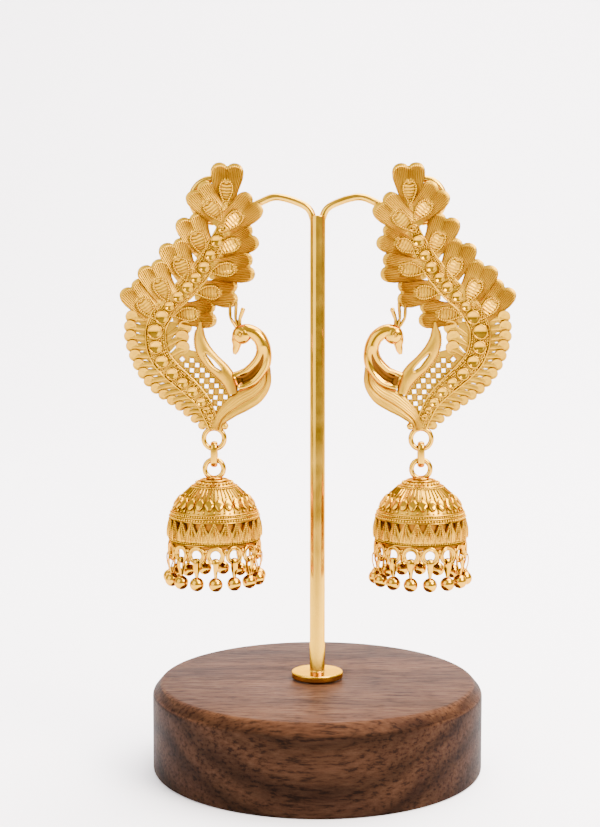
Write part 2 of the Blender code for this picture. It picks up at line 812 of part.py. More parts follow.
def rod_mesh():
    """Flange, pole and both arms in one piece."""
    flange_foot = BASE_HEIGHT + PART_GAP
    flange_top = flange_foot + FLANGE_THICKNESS
    profile = [
        (0.0, ARM_NOTCH_HEIGHT - 1.0 * MM),
        (POLE_RADIUS, ARM_NOTCH_HEIGHT - 1.0 * MM),
        (POLE_RADIUS, flange_top),
        (FLANGE_RADIUS, flange_top),
        (FLANGE_RADIUS, flange_foot),
        (POLE_RADIUS, flange_foot),
        (POLE_RADIUS, BASE_HEIGHT - POLE_SOCKET_DEPTH),
        (0.0, BASE_HEIGHT - POLE_SOCKET_DEPTH),
    ]
    pole = revolve(profile, 12)
    arms = [bent_wire(arm_path(sense), ARM_WIRE_RADIUS, 5, (0, 1, 0), False) for sense in (-1, 1)]
    return fuse("stand_rod", [pole] + arms)


def nut_mesh():
    """A round nut with a through bore, its axis along Y and its front face at y = 0."""
    bore = POST_RADIUS + PART_GAP * 0.5
    form = bmesh.new()
    rings = []
    for radius, y in ((bore, 0.0), (NUT_RADIUS, 0.0), (NUT_RADIUS, NUT_THICKNESS), (bore, NUT_THICKNESS)):
        ring = []
        for side in range(NUT_SIDES):
            angle = math.tau * side / NUT_SIDES
            ring.append(form.verts.new((radius * math.cos(angle), y, radius * math.sin(angle))))
        rings.append(ring)
    for first, second in zip(rings, rings[1:] + rings[:1]):
        for side in range(NUT_SIDES):
            after = (side + 1) % NUT_SIDES
            form.faces.new((first[side], first[after], second[after], second[side]))
    return mesh_from(form, "back_nut")


def link_mesh():
    """The connecting link, hung on the plate ring, in the frame of its upper hinge."""
    half_width = max(PLATE_RING_WIRE, BELL_RING_WIRE) + LINK_GAP + LINK_WIRE_RADIUS
    path = oval_path(LINK_TOP, LINK_BOTTOM, half_width, 12)
    return bent_wire(path, LINK_WIRE_RADIUS, 5, (1, 0, 0), True, "link")


def bell_shell():
    """The hollow dome: outer sections down to the rim, then the inner wall up again."""
    profile = [(0.0, BELL_HEIGHT)]
    flutes = [0.0]
    for section in BELL_SECTIONS:
        profile.append((section.radius * BELL_RADIUS, section.height * BELL_HEIGHT))
        flutes.append(section.flute)
    for share in BELL_INSIDE_SHARES:
        profile.append((bell_radius_at(share) - BELL_WALL, share * BELL_HEIGHT))
        flutes.append(0.0)
    profile.append((0.0, BELL_HEIGHT * 0.90))
    flutes.append(0.0)
    return revolve(profile, BELL_SIDES, flutes)


def bell_radius_at(share):
    """The outer radius at a share of the bell's height."""
    rows = sorted(BELL_SECTIONS, key=lambda section: section.height)
    for lower, upper in zip(rows, rows[1:]):
        if lower.height <= share <= upper.height:
            part = (share - lower.height) / (upper.height - lower.height)
            return BELL_RADIUS * (lower.radius + (upper.radius - lower.radius) * part)
    return BELL_RADIUS * rows[-1].radius


def bell_holes():
    """Wedge-shaped cutters for the openings between the leaf tips of the belt."""
    form = bmesh.new()
    middle = BELL_HEIGHT * BELL_HOLE_HEIGHT
    reach = bell_radius_at(BELL_HOLE_HEIGHT)
    for number in range(BELL_SIDES // 2):
        angle = math.tau * (number * 2 + 0.5) / BELL_SIDES
        outward = Vector((math.cos(angle), math.sin(angle), 0.0))
        across = Vector((-outward.y, outward.x, 0.0)) * BELL_HOLE_WIDTH * 0.5
        corners = []
        for distance in (reach - BELL_WALL * 2.2, reach + BELL_WALL):
            for side, rise in ((-1, -0.45), (1, -0.45), (0, 0.55)):
                up = Vector((0.0, 0.0, middle + rise * BELL_HOLE_LENGTH))
                corners.append(form.verts.new(outward * distance + across * side + up))
        form.faces.new(corners[:3])
        form.faces.new(corners[3:])
        for side in range(3):
            after = (side + 1) % 3
            form.faces.new((corners[side], corners[after], corners[after + 3], corners[side + 3]))
    return mesh_from(form, "bell_holes")


def bell_hoops():
    """Fifteen hoops soldered under the rim, each an arc whose ends lie inside the rim."""
    form = bmesh.new()
    for number in range(HOOP_COUNT):
        angle = math.tau * number / HOOP_COUNT
        outward = Vector((math.cos(angle), math.sin(angle), 0.0))
        sideways = Vector((-outward.y, outward.x, 0.0))
        path = []
        for step in range(7):
            turn = math.radians(-240.0 + 300.0 * step / 6)
            across = sideways * HOOP_RADIUS * math.cos(turn)
            up = Vector((0.0, 0.0, HOOP_CENTRE + HOOP_RADIUS * math.sin(turn)))
            path.append(outward * HOOP_RING + across + up)
        arc = bent_wire(path, HOOP_WIRE, 5, outward, False)
        form.from_mesh(arc)
    return mesh_from(form, "bell_hoops")


def bell_mesh():
    """Dome, top ring and hoops in one piece, in the frame of the bell's underside."""
    top_ring = BELL_HEIGHT + BELL_RING_RADIUS + BELL_RING_WIRE - BELL_RING_SINK
    path = circle_path((0.0, 0.0, top_ring), BELL_RING_RADIUS, 12, "XZ")
    ring = bent_wire(path, BELL_RING_WIRE, 5, (0, 1, 0), True)
    pierced = fuse("bell", [bell_shell(), bell_holes()], "DIFFERENCE")
    return fuse("bell", [pierced, bell_hoops()]), ring


def drop_mesh():
    """A ball with its own bail, in the frame of the hoop wire that the bail hangs on."""
    half_width = HOOP_WIRE + DROP_GAP + DROP_BAIL_WIRE
    top = half_width
    bottom = -DROP_LENGTH + half_width + DROP_BALL_RADIUS * 1.3
    bail = bent_wire(bail_path(top, bottom, half_width), DROP_BAIL_WIRE, 5, (1, 0, 0), False)
    centre = top + DROP_BAIL_WIRE - DROP_LENGTH + DROP_BALL_RADIUS
    profile = []
    for row in range(5):
        angle = math.pi * row / 4
        radius = 0.0 if row in (0, 4) else DROP_BALL_RADIUS * math.sin(angle)
        profile.append((radius, centre + DROP_BALL_RADIUS * math.cos(angle)))
    return fuse("drop", [revolve(profile, 10), bail])


# Heights that follow from the driving sizes
LINK_HINGE = PLATE_RING_HEIGHT - PLATE_RING_RADIUS
LINK_TOP = PLATE_RING_WIRE + LINK_GAP + LINK_WIRE_RADIUS
LINK_BOTTOM = LINK_TOP - LINK_LENGTH
BELL_RING_TOP = LINK_GAP + LINK_WIRE_RADIUS + BELL_RING_WIRE
BELL_RING_FOOT = BELL_RING_TOP - 2.0 * BELL_RING_RADIUS - BELL_RING_WIRE
BELL_FOOT = BELL_RING_FOOT + BELL_RING_SINK - BELL_HEIGHT
HOOP_RING = BELL_RADIUS * BELL_SECTIONS[-1].radius - BELL_WALL * 0.5
HOOP_CENTRE = HOOP_SINK - HOOP_RADIUS - HOOP_WIRE
HOOP_FOOT = HOOP_CENTRE - HOOP_RADIUS


def build_stand():
    place("stand_base", base_mesh(), walnut_material("walnut_wood"))
    place("stand_rod", rod_mesh(), brass_material("brass_rod"))


def build_earrings():
    gold = gold_material("gold_metal")
    left_plate = plate_mesh()
    plates = {"left": left_plate, "right": mirrored(left_plate, "ear_plate_right")}
    nut = nut_mesh()
    link = link_mesh()
    shell, ring = bell_mesh()
    drop = drop_mesh()
    for side, sense in (("left", -1), ("right", 1)):
        x = sense * EARRING_X
        place(f"plate_{side}", plates[side], gold, (x, 0.0, PLATE_RING_HEIGHT))
        nut_place = (sense * ARM_LOOP_X, ARM_WIRE_RADIUS + PART_GAP, POST_HEIGHT)
        place(f"back_nut_{side}", nut, gold, nut_place)
        link_hinge = hinge(f"link_hinge_{side}", (x, RING_PLANE, LINK_HINGE))
        place(f"link_{side}", link, gold, parent=link_hinge)
        bell_hinge = hinge(f"bell_hinge_{side}", (0.0, 0.0, LINK_BOTTOM), link_hinge)
        turn = math.radians(BELL_TURN[side])
        turned = turned_bell(shell, ring, turn, side)
        place(f"bell_{side}", turned, gold, (0.0, 0.0, BELL_FOOT), bell_hinge)
        for number in range(HOOP_COUNT):
            angle = turn + math.tau * number / HOOP_COUNT
            spot = (HOOP_RING * math.cos(angle), HOOP_RING * math.sin(angle), BELL_FOOT + HOOP_FOOT)
            name = f"drop_{side}_{number + 1:02d}"
            place(name, drop, gold, spot, bell_hinge, angle + math.pi / 2)


def turned_bell(shell, ring, turn, side):
    """The bell with its hoops turned about its axis while its top ring stays across the front."""
    form = bmesh.new()
    form.from_mesh(shell)
    cosine = math.cos(turn)
    sine = math.sin(turn)
    for vertex in form.verts:
        x, y = vertex.co.x, vertex.co.y
        vertex.co.x = x * cosine - y * sine
        vertex.co.y = x * sine + y * cosine
    return fuse(f"bell_{side}", [mesh_from(form, f"bell_shell_{side}"), ring])


build_stand()
build_earrings()
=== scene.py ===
import json
import math
from collections import namedtuple

import bmesh
import bpy
from mathutils import Matrix, Vector


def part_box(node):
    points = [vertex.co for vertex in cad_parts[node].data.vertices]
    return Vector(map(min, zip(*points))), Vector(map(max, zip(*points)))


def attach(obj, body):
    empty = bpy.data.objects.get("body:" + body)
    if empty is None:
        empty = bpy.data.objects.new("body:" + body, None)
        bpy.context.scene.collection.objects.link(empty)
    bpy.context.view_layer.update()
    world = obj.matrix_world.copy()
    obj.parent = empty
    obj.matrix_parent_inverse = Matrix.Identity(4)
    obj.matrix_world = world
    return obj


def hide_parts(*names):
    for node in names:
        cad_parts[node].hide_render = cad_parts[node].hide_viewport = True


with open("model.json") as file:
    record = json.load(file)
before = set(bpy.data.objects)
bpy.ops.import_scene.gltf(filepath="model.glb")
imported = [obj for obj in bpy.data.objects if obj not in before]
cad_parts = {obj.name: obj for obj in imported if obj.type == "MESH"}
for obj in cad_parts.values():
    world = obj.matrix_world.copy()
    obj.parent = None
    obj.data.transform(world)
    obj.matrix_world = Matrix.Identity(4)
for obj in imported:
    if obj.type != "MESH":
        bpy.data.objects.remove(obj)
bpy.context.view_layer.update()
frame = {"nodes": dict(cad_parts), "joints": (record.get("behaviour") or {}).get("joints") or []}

# Camera, floor and light of the photo of a pair of jhumka earrings on their stand: a long lens a
# little above them looks down on a plain pale table that runs up behind without an edge. The
# scene is in metres, in the part's own frame, and details are worked out in millimetres.
MM = 0.001
CAMERA_DISTANCE = 301.8 * MM
CAMERA_HEIGHT = 97.54 * MM
CAMERA_PITCH = 5.219
CAMERA_YAW = 0.65
CAMERA_LENS = 67.5
CAMERA_SENSOR = 36.0
FLOOR_COLOUR = "F8F5F8"

def linear(hex_colour):
    """An sRGB hex colour as linear red, green, blue and alpha."""
    values = []
    for start in (0, 2, 4):
        share = int(hex_colour[start:start + 2], 16) / 255.0
        values.append(share / 12.92 if share <= 0.04045 else ((share + 0.055) / 1.055) ** 2.4)
    return (*values, 1.0)

def add_node(material, kind, inputs=None, stops=(), **settings):
    """Add a shader node with its settings and links.

    An input, by name or number, takes a value or another node's socket. A ramp takes stops, each
    with its place and its sRGB hex colour.
    """
    shader = material.node_tree.nodes.new(kind)
    for name, value in settings.items():
        setattr(shader, name, value)
    for name, value in (inputs or {}).items():
        if isinstance(value, bpy.types.NodeSocket):
            material.node_tree.links.new(value, shader.inputs[name])
        else:
            shader.inputs[name].default_value = value
    elements = shader.color_ramp.elements if stops else ()
    while len(elements) < len(stops):
        elements.new(0.5)
    for element, (position, colour) in zip(elements, stops):
        element.position = position
        element.color = linear(colour)
    return shader

def new_material(name):
    """An empty node material with its output."""
    material = bpy.data.materials.new(name)
    material.use_nodes = True
    material.node_tree.nodes.clear()
    return material

def finish_material(material, inputs):
    """Close a material with a Principled surface."""
    surface = add_node(material, "ShaderNodeBsdfPrincipled", inputs)
    output = add_node(material, "ShaderNodeOutputMaterial")
    material.node_tree.links.new(surface.outputs["BSDF"], output.inputs["Surface"])
    return material

def add_camera():
    """A camera in front of the stand, tipped down a little."""
    camera = bpy.data.objects.new("camera", bpy.data.cameras.new("camera"))
    camera.data.lens = CAMERA_LENS
    camera.data.sensor_width = CAMERA_SENSOR
    camera.data.sensor_fit = "AUTO"
    camera.data.clip_start = 0.01
    camera.location = (0.0, -CAMERA_DISTANCE, CAMERA_HEIGHT)
    camera.rotation_euler = (math.radians(90.0 - CAMERA_PITCH), 0.0, math.radians(CAMERA_YAW))
    bpy.context.scene.collection.objects.link(camera)
    bpy.context.scene.camera = camera

def add_floor():
    """A table that bends up into a backdrop."""
    half_width = 12.0
    front = -6.0
    bend_start = 0.55
    bend_radius = 0.5
    wall_top = 1.8
    profile = [(front, 0.0), (bend_start, 0.0)]
    for step in range(1, 13):
        angle = math.radians(90.0 * step / 12)
        profile.append((bend_start + bend_radius * math.sin(angle), bend_radius * (1 - math.cos(angle))))
    profile.append((bend_start + bend_radius, wall_top))
    verts = [(x, y, z) for y, z in profile for x in (-half_width, half_width)]
    faces = [(i, i + 1, i + 3, i + 2) for i in range(0, len(verts) - 2, 2)]
    mesh = bpy.data.meshes.new("studio_floor")
    mesh.from_pydata(verts, [], faces)
    mesh.shade_smooth()
    floor = bpy.data.objects.new("studio_floor", mesh)
    bpy.context.scene.collection.objects.link(floor)
    # Uncoated paper, pressed smooth: even, dull and nearly white.
    material = new_material("pale_paper_table")
    grain = add_node(material, "ShaderNodeTexNoise", {"Scale": 900.0, "Detail": 4.0})
    bump = add_node(material, "ShaderNodeBump", {"Height": grain.outputs["Fac"], "Strength": 0.02})
    finish_material(material, {
        "Base Color": linear(FLOOR_COLOUR), "Roughness": 0.85, "Normal": bump.outputs["Normal"],
    })
    mesh.materials.append(material)

def add_light(name, location, aim, width, height, power, colour):
    """A softbox, with its size in metres and its power in watts."""
    light = bpy.data.lights.new(name, "AREA")
    light.shape = "RECTANGLE"
    light.size = width
    light.size_y = height
    light.energy = power
    light.color = linear(colour)[:3]
    lamp = bpy.data.objects.new(name, light)
    lamp.location = location
    lamp.rotation_euler = (Vector(aim) - Vector(location)).to_track_quat("-Z", "Y").to_euler()
    bpy.context.scene.collection.objects.link(lamp)

def add_world():
    """Soft white light from all around, a little darker near the horizon."""
    world = bpy.data.worlds.new("soft_studio")
    world.use_nodes = True
    background = world.node_tree.nodes["Background"]
    place = add_node(world, "ShaderNodeTexCoord")
    axes = add_node(world, "ShaderNodeSeparateXYZ", {"Vector": place.outputs["Generated"]})
    shade = add_node(world, "ShaderNodeValToRGB", {"Fac": axes.outputs["Z"]}, [
        (0.0, "C8C4C0"), (0.06, "A8A29E"), (0.20, "F0ECE8"), (1.0, "FFFDFA"),
    ])
    world.node_tree.links.new(shade.outputs["Color"], background.inputs["Color"])
    background.inputs["Strength"].default_value = 1.25
    bpy.context.scene.world = world

add_camera()
add_floor()
add_world()
middle = (0.0, 0.0, 0.07)
add_light("top_softbox", (0.30, 0.25, 0.95), (0.0, 0.12, 0.0), 1.0, 0.8, 53.0, "FFFAF9")
add_light("backdrop_softbox", (0.0, 0.5, 1.25), (0.0, 1.05, 0.4), 1.5, 0.5, 30.0, "FFFBFA")
add_light("key_softbox", (0.36, -0.30, 0.42), middle, 0.26, 0.26, 8.0, "FFF4E8")
add_light("fill_softbox", (-0.50, -0.40, 0.35), middle, 0.6, 0.6, 4.5, "FFFFFF")

# The walnut base: a solid disc turned and sanded, its grain running across, a narrow chamfer
# at the upper edge, a thin oil finish and one hole for the pole under the flange.
WALNUT_SAG = 14.0
WALNUT_GRAIN = (1.0, 7.0, 7.0)
PORE_SCALE = (240.0, 1600.0, 1600.0)
COLOUR_BELOW, COLOUR_ABOVE = 6, 7

def walnut_material(name):
    """Walnut, turned, sanded and oiled: a warm dull brown with dark growth bands and short pores.

    The bands sag on the upright faces. Real pores are about 0.2 mm wide; these are drawn 0.6 mm
    wide and 4 mm long, so that they show. Painted shade makes the upright faces darker than the top.
    """
    material = new_material(name)
    place = add_node(material, "ShaderNodeTexCoord")
    facing = add_node(material, "ShaderNodeSeparateXYZ", {"Vector": place.outputs["Normal"]})
    upright = add_node(material, "ShaderNodeMapRange", {
        "Value": facing.outputs["Z"], "From Min": 0.2, "From Max": 0.9, "To Min": 1.0, "To Max": 0.0,
    })
    spot = add_node(material, "ShaderNodeSeparateXYZ", {"Vector": place.outputs["Object"]})
    square = add_node(material, "ShaderNodeMath", {0: spot.outputs["X"], 1: spot.outputs["X"]},
                      operation="MULTIPLY")
    sag = add_node(material, "ShaderNodeMath", {0: square.outputs[0], 1: upright.outputs["Result"]},
                   operation="MULTIPLY")
    sunk = add_node(material, "ShaderNodeMath", {0: sag.outputs[0], 1: -WALNUT_SAG, 2: spot.outputs["Z"]},
                    operation="MULTIPLY_ADD")
    bent = add_node(material, "ShaderNodeCombineXYZ", {
        "X": spot.outputs["X"], "Y": spot.outputs["Y"], "Z": sunk.outputs[0],
    })
    stretch = add_node(material, "ShaderNodeMapping", {
        "Vector": bent.outputs["Vector"], "Scale": WALNUT_GRAIN, "Rotation": (0.06, 0.05, 0.12),
    })
    swirl = add_node(material, "ShaderNodeTexNoise", {
        "Vector": stretch.outputs["Vector"], "Scale": 16.0, "Detail": 5.0, "Distortion": 1.1,
    })
    bands = add_node(material, "ShaderNodeTexWave", {
        "Vector": stretch.outputs["Vector"], "Scale": 6.0, "Distortion": 5.0, "Detail": 4.0,
        "Detail Scale": 1.6, "Detail Roughness": 0.65,
    }, wave_type="BANDS", bands_direction="Z")
    fine = add_node(material, "ShaderNodeMapping", {
        "Vector": place.outputs["Object"], "Scale": PORE_SCALE,
    })
    pores = add_node(material, "ShaderNodeTexNoise", {
        "Vector": fine.outputs["Vector"], "Scale": 1.0, "Detail": 3.0, "Roughness": 0.7,
    })
    growth = add_node(material, "ShaderNodeValToRGB", {"Fac": bands.outputs["Fac"]}, [
        (0.0, "583E30"), (0.40, "4C3629"), (0.75, "38241A"), (1.0, "20130D"),
    ])
    tone = add_node(material, "ShaderNodeValToRGB", {"Fac": swirl.outputs["Fac"]}, [
        (0.30, "34221A"), (0.55, "4E3828"), (0.75, "664A36"),
    ])
    mixed = add_node(material, "ShaderNodeMix", {
        "Factor": 0.5, COLOUR_BELOW: growth.outputs["Color"], COLOUR_ABOVE: tone.outputs["Color"],
    }, data_type="RGBA")
    pore_shade = add_node(material, "ShaderNodeValToRGB", {"Fac": pores.outputs["Fac"]}, [
        (0.37, "2C1C14"), (0.47, "CCBCB0"), (0.70, "FFFFFF"),
    ])
    shaded = add_node(material, "ShaderNodeMix", {
        "Factor": 0.75, COLOUR_BELOW: mixed.outputs[2], COLOUR_ABOVE: pore_shade.outputs["Color"],
    }, data_type="RGBA", blend_type="MULTIPLY")
    # Painted shade: the colour is multiplied darker on upright faces and left warm and bright on top.
    painted_side_shade = add_node(material, "ShaderNodeValToRGB", {"Fac": facing.outputs["Z"]}, [
        (0.2, "AEA8A0"), (0.95, "FFF0D8"),
    ])
    with_painted_side_shade = add_node(material, "ShaderNodeMix", {
        "Factor": 1.0, COLOUR_BELOW: shaded.outputs[2], COLOUR_ABOVE: painted_side_shade.outputs["Color"],
    }, data_type="RGBA", blend_type="MULTIPLY")
    bump = add_node(material, "ShaderNodeBump", {
        "Height": pores.outputs["Fac"], "Strength": 0.22, "Distance": 0.0002,
    })
    gloss = add_node(material, "ShaderNodeMapRange", {
        "Value": pores.outputs["Fac"], "To Min": 0.62, "To Max": 0.42,
    })
    return finish_material(material, {
        "Base Color": with_painted_side_shade.outputs[2], "Roughness": gloss.outputs["Result"],
        "Normal": bump.outputs["Normal"], "IOR": 1.5, "Specular IOR Level": 0.02,
    })

def revolve(profile, sides, name, sharp=35.0):
    """A closed turned solid about Z from (radius, height) in millimetres, top to bottom outside."""
    form = bmesh.new()
    rings = []
    for radius, height in profile:
        count = 1 if radius == 0.0 else sides
        ring = []
        for side in range(count):
            angle = math.tau * side / sides
            corner = (radius * math.cos(angle) * MM, radius * math.sin(angle) * MM, height * MM)
            ring.append(form.verts.new(corner))
        rings.append(ring)
    for upper, lower in zip(rings, rings[1:]):
        for side in range(sides):
            after = (side + 1) % sides
            if len(upper) == 1:
                form.faces.new((upper[0], lower[side], lower[after]))
            elif len(lower) == 1:
                form.faces.new((upper[after], upper[side], lower[0]))
            else:
                form.faces.new((upper[after], upper[side], lower[side], lower[after]))
    bmesh.ops.recalc_face_normals(form, faces=form.faces)
    mesh = bpy.data.meshes.new(name)
    form.to_mesh(mesh)
    form.free()
    mesh.shade_smooth()
    mesh.set_sharp_from_angle(angle=math.radians(sharp))
    return mesh

def rounded_profile(corners, rounding, steps=4):
    """Round each inner corner of a profile by a small fillet."""
    points = [corners[0]]
    for before, corner, after in zip(corners, corners[1:], corners[2:]):
        back = Vector(before) - Vector(corner)
        ahead = Vector(after) - Vector(corner)
        reach = min(rounding, back.length * 0.45, ahead.length * 0.45)
        first = Vector(corner) + back.normalized() * reach
        last = Vector(corner) + ahead.normalized() * reach
        for step in range(steps + 1):
            share = step / steps
            point = first * (1 - share) ** 2 + Vector(corner) * 2 * share * (1 - share) + last * share ** 2
            points.append((point.x, point.y))
    points.append(corners[-1])
    return points

def add_piece(name, mesh, material, body, replaced=()):
    """Link a finished mesh as a piece that rides on its body."""
    piece = bpy.data.objects.new(name, mesh)
    bpy.context.scene.collection.objects.link(piece)
    mesh.materials.append(material)
    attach(piece, body)
    if replaced:
        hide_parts(*replaced)

base_low, base_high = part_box("stand_base")
base_radius = (base_high[0] - base_low[0]) * 0.5 / MM
base_height = base_high[2] / MM
BASE_CHAMFER = (1.7, 2.06)
SOCKET_RADIUS = 1.8
SOCKET_DEPTH = 8.3
base_corners = [
    (0.0, base_height - SOCKET_DEPTH),
    (SOCKET_RADIUS, base_height - SOCKET_DEPTH),
    (SOCKET_RADIUS, base_height),
    (base_radius - BASE_CHAMFER[0], base_height),
    (base_radius, base_height - BASE_CHAMFER[1]),
    (base_radius, 0.0),
    (0.0, 0.0),
]
base_mesh = revolve(rounded_profile(base_corners, 0.55), 160, "walnut_disc", 30.0)
add_piece("walnut_disc", base_mesh, walnut_material("oiled_walnut"), "stand", ["stand_base"])

# The brass stand: a turned flange and a drawn pole, with two bent wires that leave the pole's
# split top and end in a curled eye each. All of it is polished, lacquered brass.
METAL_EDGE = "ECB430"
BRASS_EDGE = "F4D080"
# Painted shade: a colour multiplied into the metals' corners and hollows where ambient occlusion finds them.
PAINTED_CREVICE_SHADE = "B4A894"
PAINTED_SHADE_REACH = 0.6 * MM

def metal_material(name, colours, roughness, grain_mm, strength, sheen_variation=0.06, edge=METAL_EDGE):
    """Cast or drawn metal: two close tones, an uneven polish, and painted shade in its corners.

    Its grain is the marks of file and blasting, 0.06 to 0.3 mm, and only breaks up the light.
    """
    material = new_material(name)
    place = add_node(material, "ShaderNodeTexCoord")
    cloud = add_node(material, "ShaderNodeTexNoise", {
        "Vector": place.outputs["Object"], "Scale": 260.0, "Detail": 3.0,
    })
    grain = add_node(material, "ShaderNodeTexNoise", {
        "Vector": place.outputs["Object"], "Scale": 1.0 / (grain_mm * MM), "Detail": 2.0,
    })
    colour = add_node(material, "ShaderNodeValToRGB", {"Fac": cloud.outputs["Fac"]}, [
        (0.3, colours[0]), (0.7, colours[1]),
    ])
    # Painted shade: the base colour is made darker wherever ambient occlusion finds a corner.
    corner = add_node(material, "ShaderNodeAmbientOcclusion", {"Distance": PAINTED_SHADE_REACH}, samples=6)
    painted_crevice_shade = add_node(material, "ShaderNodeValToRGB", {"Fac": corner.outputs["AO"]}, [
        (0.25, PAINTED_CREVICE_SHADE), (0.85, "FFFFFF"),
    ])
    shaded = add_node(material, "ShaderNodeMix", {
        "Factor": 1.0, COLOUR_BELOW: colour.outputs["Color"], COLOUR_ABOVE: painted_crevice_shade.outputs["Color"],
    }, data_type="RGBA", blend_type="MULTIPLY")
    gloss = add_node(material, "ShaderNodeMapRange", {
        "Value": cloud.outputs["Fac"], "From Min": 0.3, "From Max": 0.7,
        "To Min": roughness - sheen_variation, "To Max": roughness + sheen_variation,
    })
    bump = add_node(material, "ShaderNodeBump", {
        "Height": grain.outputs["Fac"], "Strength": strength, "Distance": 0.00002,
    })
    return finish_material(material, {
        "Base Color": shaded.outputs[2], "Metallic": 1.0, "Roughness": gloss.outputs["Result"],
        "Normal": bump.outputs["Normal"], "Specular Tint": linear(edge),
    })

def smooth_path(points, steps):
    """A Catmull-Rom curve through points of any number of values."""
    count = len(points)
    result = []
    for index in range(count - 1):
        ends = [points[max(0, min(count - 1, index + offset))] for offset in (-1, 0, 1, 2)]
        for step in range(steps):
            share = step / steps
            value = []
            for a, b, c, d in zip(*ends):
                slope = (c - a) * share
                bend = (2 * a - 5 * b + 4 * c - d) * share ** 2
                twist = (3 * b - a - 3 * c + d) * share ** 3
                value.append(0.5 * (2 * b + slope + bend + twist))
            result.append(tuple(value))
    result.append(tuple(points[-1]))
    return result

def spaced(points, count):
    """Even places along a curve, with every value interpolated."""
    lengths = [0.0]
    for first, second in zip(points, points[1:]):
        lengths.append(lengths[-1] + math.dist(first[:2], second[:2]))
    places = []
    for number in range(count):
        target = lengths[-1] * number / max(1, count - 1)
        index = max(i for i, length in enumerate(lengths[:-1]) if length <= target + 1e-12)
        share = (target - lengths[index]) / (lengths[index + 1] - lengths[index])
        places.append(tuple(a + (b - a) * share for a, b in zip(points[index], points[index + 1])))
    return places

def circle(steps):
    """Even places round a unit circle, as cosine and sine."""
    return [(math.cos(math.tau * step / steps), math.sin(math.tau * step / steps)) for step in range(steps)]

class Metalwork:
    """Collects many small closed shapes, in millimetres, for one mesh."""

    def __init__(self):
        self.verts = []
        self.faces = []

    def add(self, verts, faces):
        """Add one shape's corners and faces."""
        first = len(self.verts)
        self.verts.extend(verts)
        self.faces.extend([tuple(first + index for index in face) for face in faces])

    def grid(self, rows, closed_across=False, caps=False):
        """Quads between rows of points."""
        width = len(rows[0])
        verts = [tuple(point) for row in rows for point in row]
        faces = []
        for r in range(len(rows) - 1):
            for c in range(width if closed_across else width - 1):
                d = (c + 1) % width
                faces.append((r * width + c, r * width + d, (r + 1) * width + d, (r + 1) * width + c))
        if caps:
            faces.append(tuple(range(width))[::-1])
            faces.append(tuple(range((len(rows) - 1) * width, len(rows) * width)))
        self.add(verts, faces)

    def wire(self, path, radius, sides=10, closed=False, flat=1.0):
        """A round or flattened wire along a path; radius may be a list."""
        count = len(path)
        points = [Vector(point) for point in path]
        radii = radius if isinstance(radius, (list, tuple)) else [radius] * count
        normal = None
        rows = []
        for index, point in enumerate(points):
            before = points[(index - 1) % count] if closed or index else points[0]
            after = points[(index + 1) % count] if closed or index < count - 1 else points[-1]
            along = (after - before).normalized()
            if normal is None:
                helper = Vector((0.0, 1.0, 0.0))
                if abs(along.dot(helper)) > 0.9:
                    helper = Vector((1.0, 0.0, 0.0))
                normal = (helper - along * helper.dot(along)).normalized()
            else:
                normal = (normal - along * normal.dot(along)).normalized()
            across = along.cross(normal)
            rows.append([point + (across * a + normal * b * flat) * radii[index] for a, b in circle(sides)])
        if closed:
            rows.append(rows[0])
        self.grid(rows, True, not closed)

    def bead(self, centre, radius, fine=False, flat=1.0):
        """A small ball."""
        verts, faces = FINE_BALL if fine else SMALL_BALL
        x, y, z = centre
        self.add([(x + a * radius, y + b * radius * flat, z + c * radius) for a, b, c in verts], faces)

    def object_mesh(self, name, place):
        """Move the collected shapes to their place, in metres, as one mesh with its faces outward."""
        mesh = bpy.data.meshes.new(name)
        mesh.from_pydata([place(vert) for vert in self.verts], [], self.faces)
        mesh.shade_smooth()
        mesh.set_sharp_from_angle(angle=math.radians(SHARP_EDGE))
        form = bmesh.new()
        form.from_mesh(mesh)
        bmesh.ops.recalc_face_normals(form, faces=form.faces)
        form.to_mesh(mesh)
        form.free()
        return mesh

def ball_shape(subdivisions):
    """Corners and faces of a unit ball."""
    form = bmesh.new()
    bmesh.ops.create_icosphere(form, subdivisions=subdivisions, radius=1.0)
    form.verts.index_update()
    verts = [tuple(vert.co) for vert in form.verts]
    faces = [tuple(vert.index for vert in face.verts) for face in form.faces]
    form.free()
    return verts, faces

SMALL_BALL = ball_shape(2)
FINE_BALL = ball_shape(3)
SHARP_EDGE = 50.0

def in_metres(vert):
    """A place in millimetres, in metres."""
    return (vert[0] * MM, vert[1] * MM, vert[2] * MM)

POLE_RADIUS = 1.5
FLANGE_RADIUS = 5.05
FLANGE_THICKNESS = 1.25
SEAT_GAP = 0.3
NOTCH_HEIGHT = 109.4
ARM_WIRE = 0.7
ARM_CREST = (7.6, 111.9)
ARM_EYE = (20.4, 111.45)
ARM_EYE_RADIUS = 3.9

def arm_path(sense):
    """One arm: out of the pole, over its crest and round its eye."""
    foot = ARM_EYE[1] - ARM_EYE_RADIUS
    reach = ARM_EYE[0] - ARM_CREST[0]
    drop = ARM_CREST[1] - foot
    guide = [
        (0.8, NOTCH_HEIGHT - 4.0),
        (0.9, NOTCH_HEIGHT - 1.6),
        (ARM_CREST[0] * 0.32, NOTCH_HEIGHT + (ARM_CREST[1] - NOTCH_HEIGHT) * 0.32),
        ARM_CREST,
        (ARM_CREST[0] + reach * 0.28, foot + drop * 0.76),
        (ARM_CREST[0] + reach * 0.60, foot + drop * 0.24),
        (ARM_EYE[0] - ARM_EYE_RADIUS * 0.35, foot + ARM_EYE_RADIUS * 0.02),
    ]
    points = smooth_path(guide, 8)
    for step in range(40):
        angle = math.radians(-78.0 + 270.0 * step / 39)
        points.append((ARM_EYE[0] + ARM_EYE_RADIUS * math.cos(angle),
                       ARM_EYE[1] + ARM_EYE_RADIUS * math.sin(angle)))
    return [(sense * x, 0.0, z) for x, z in points]

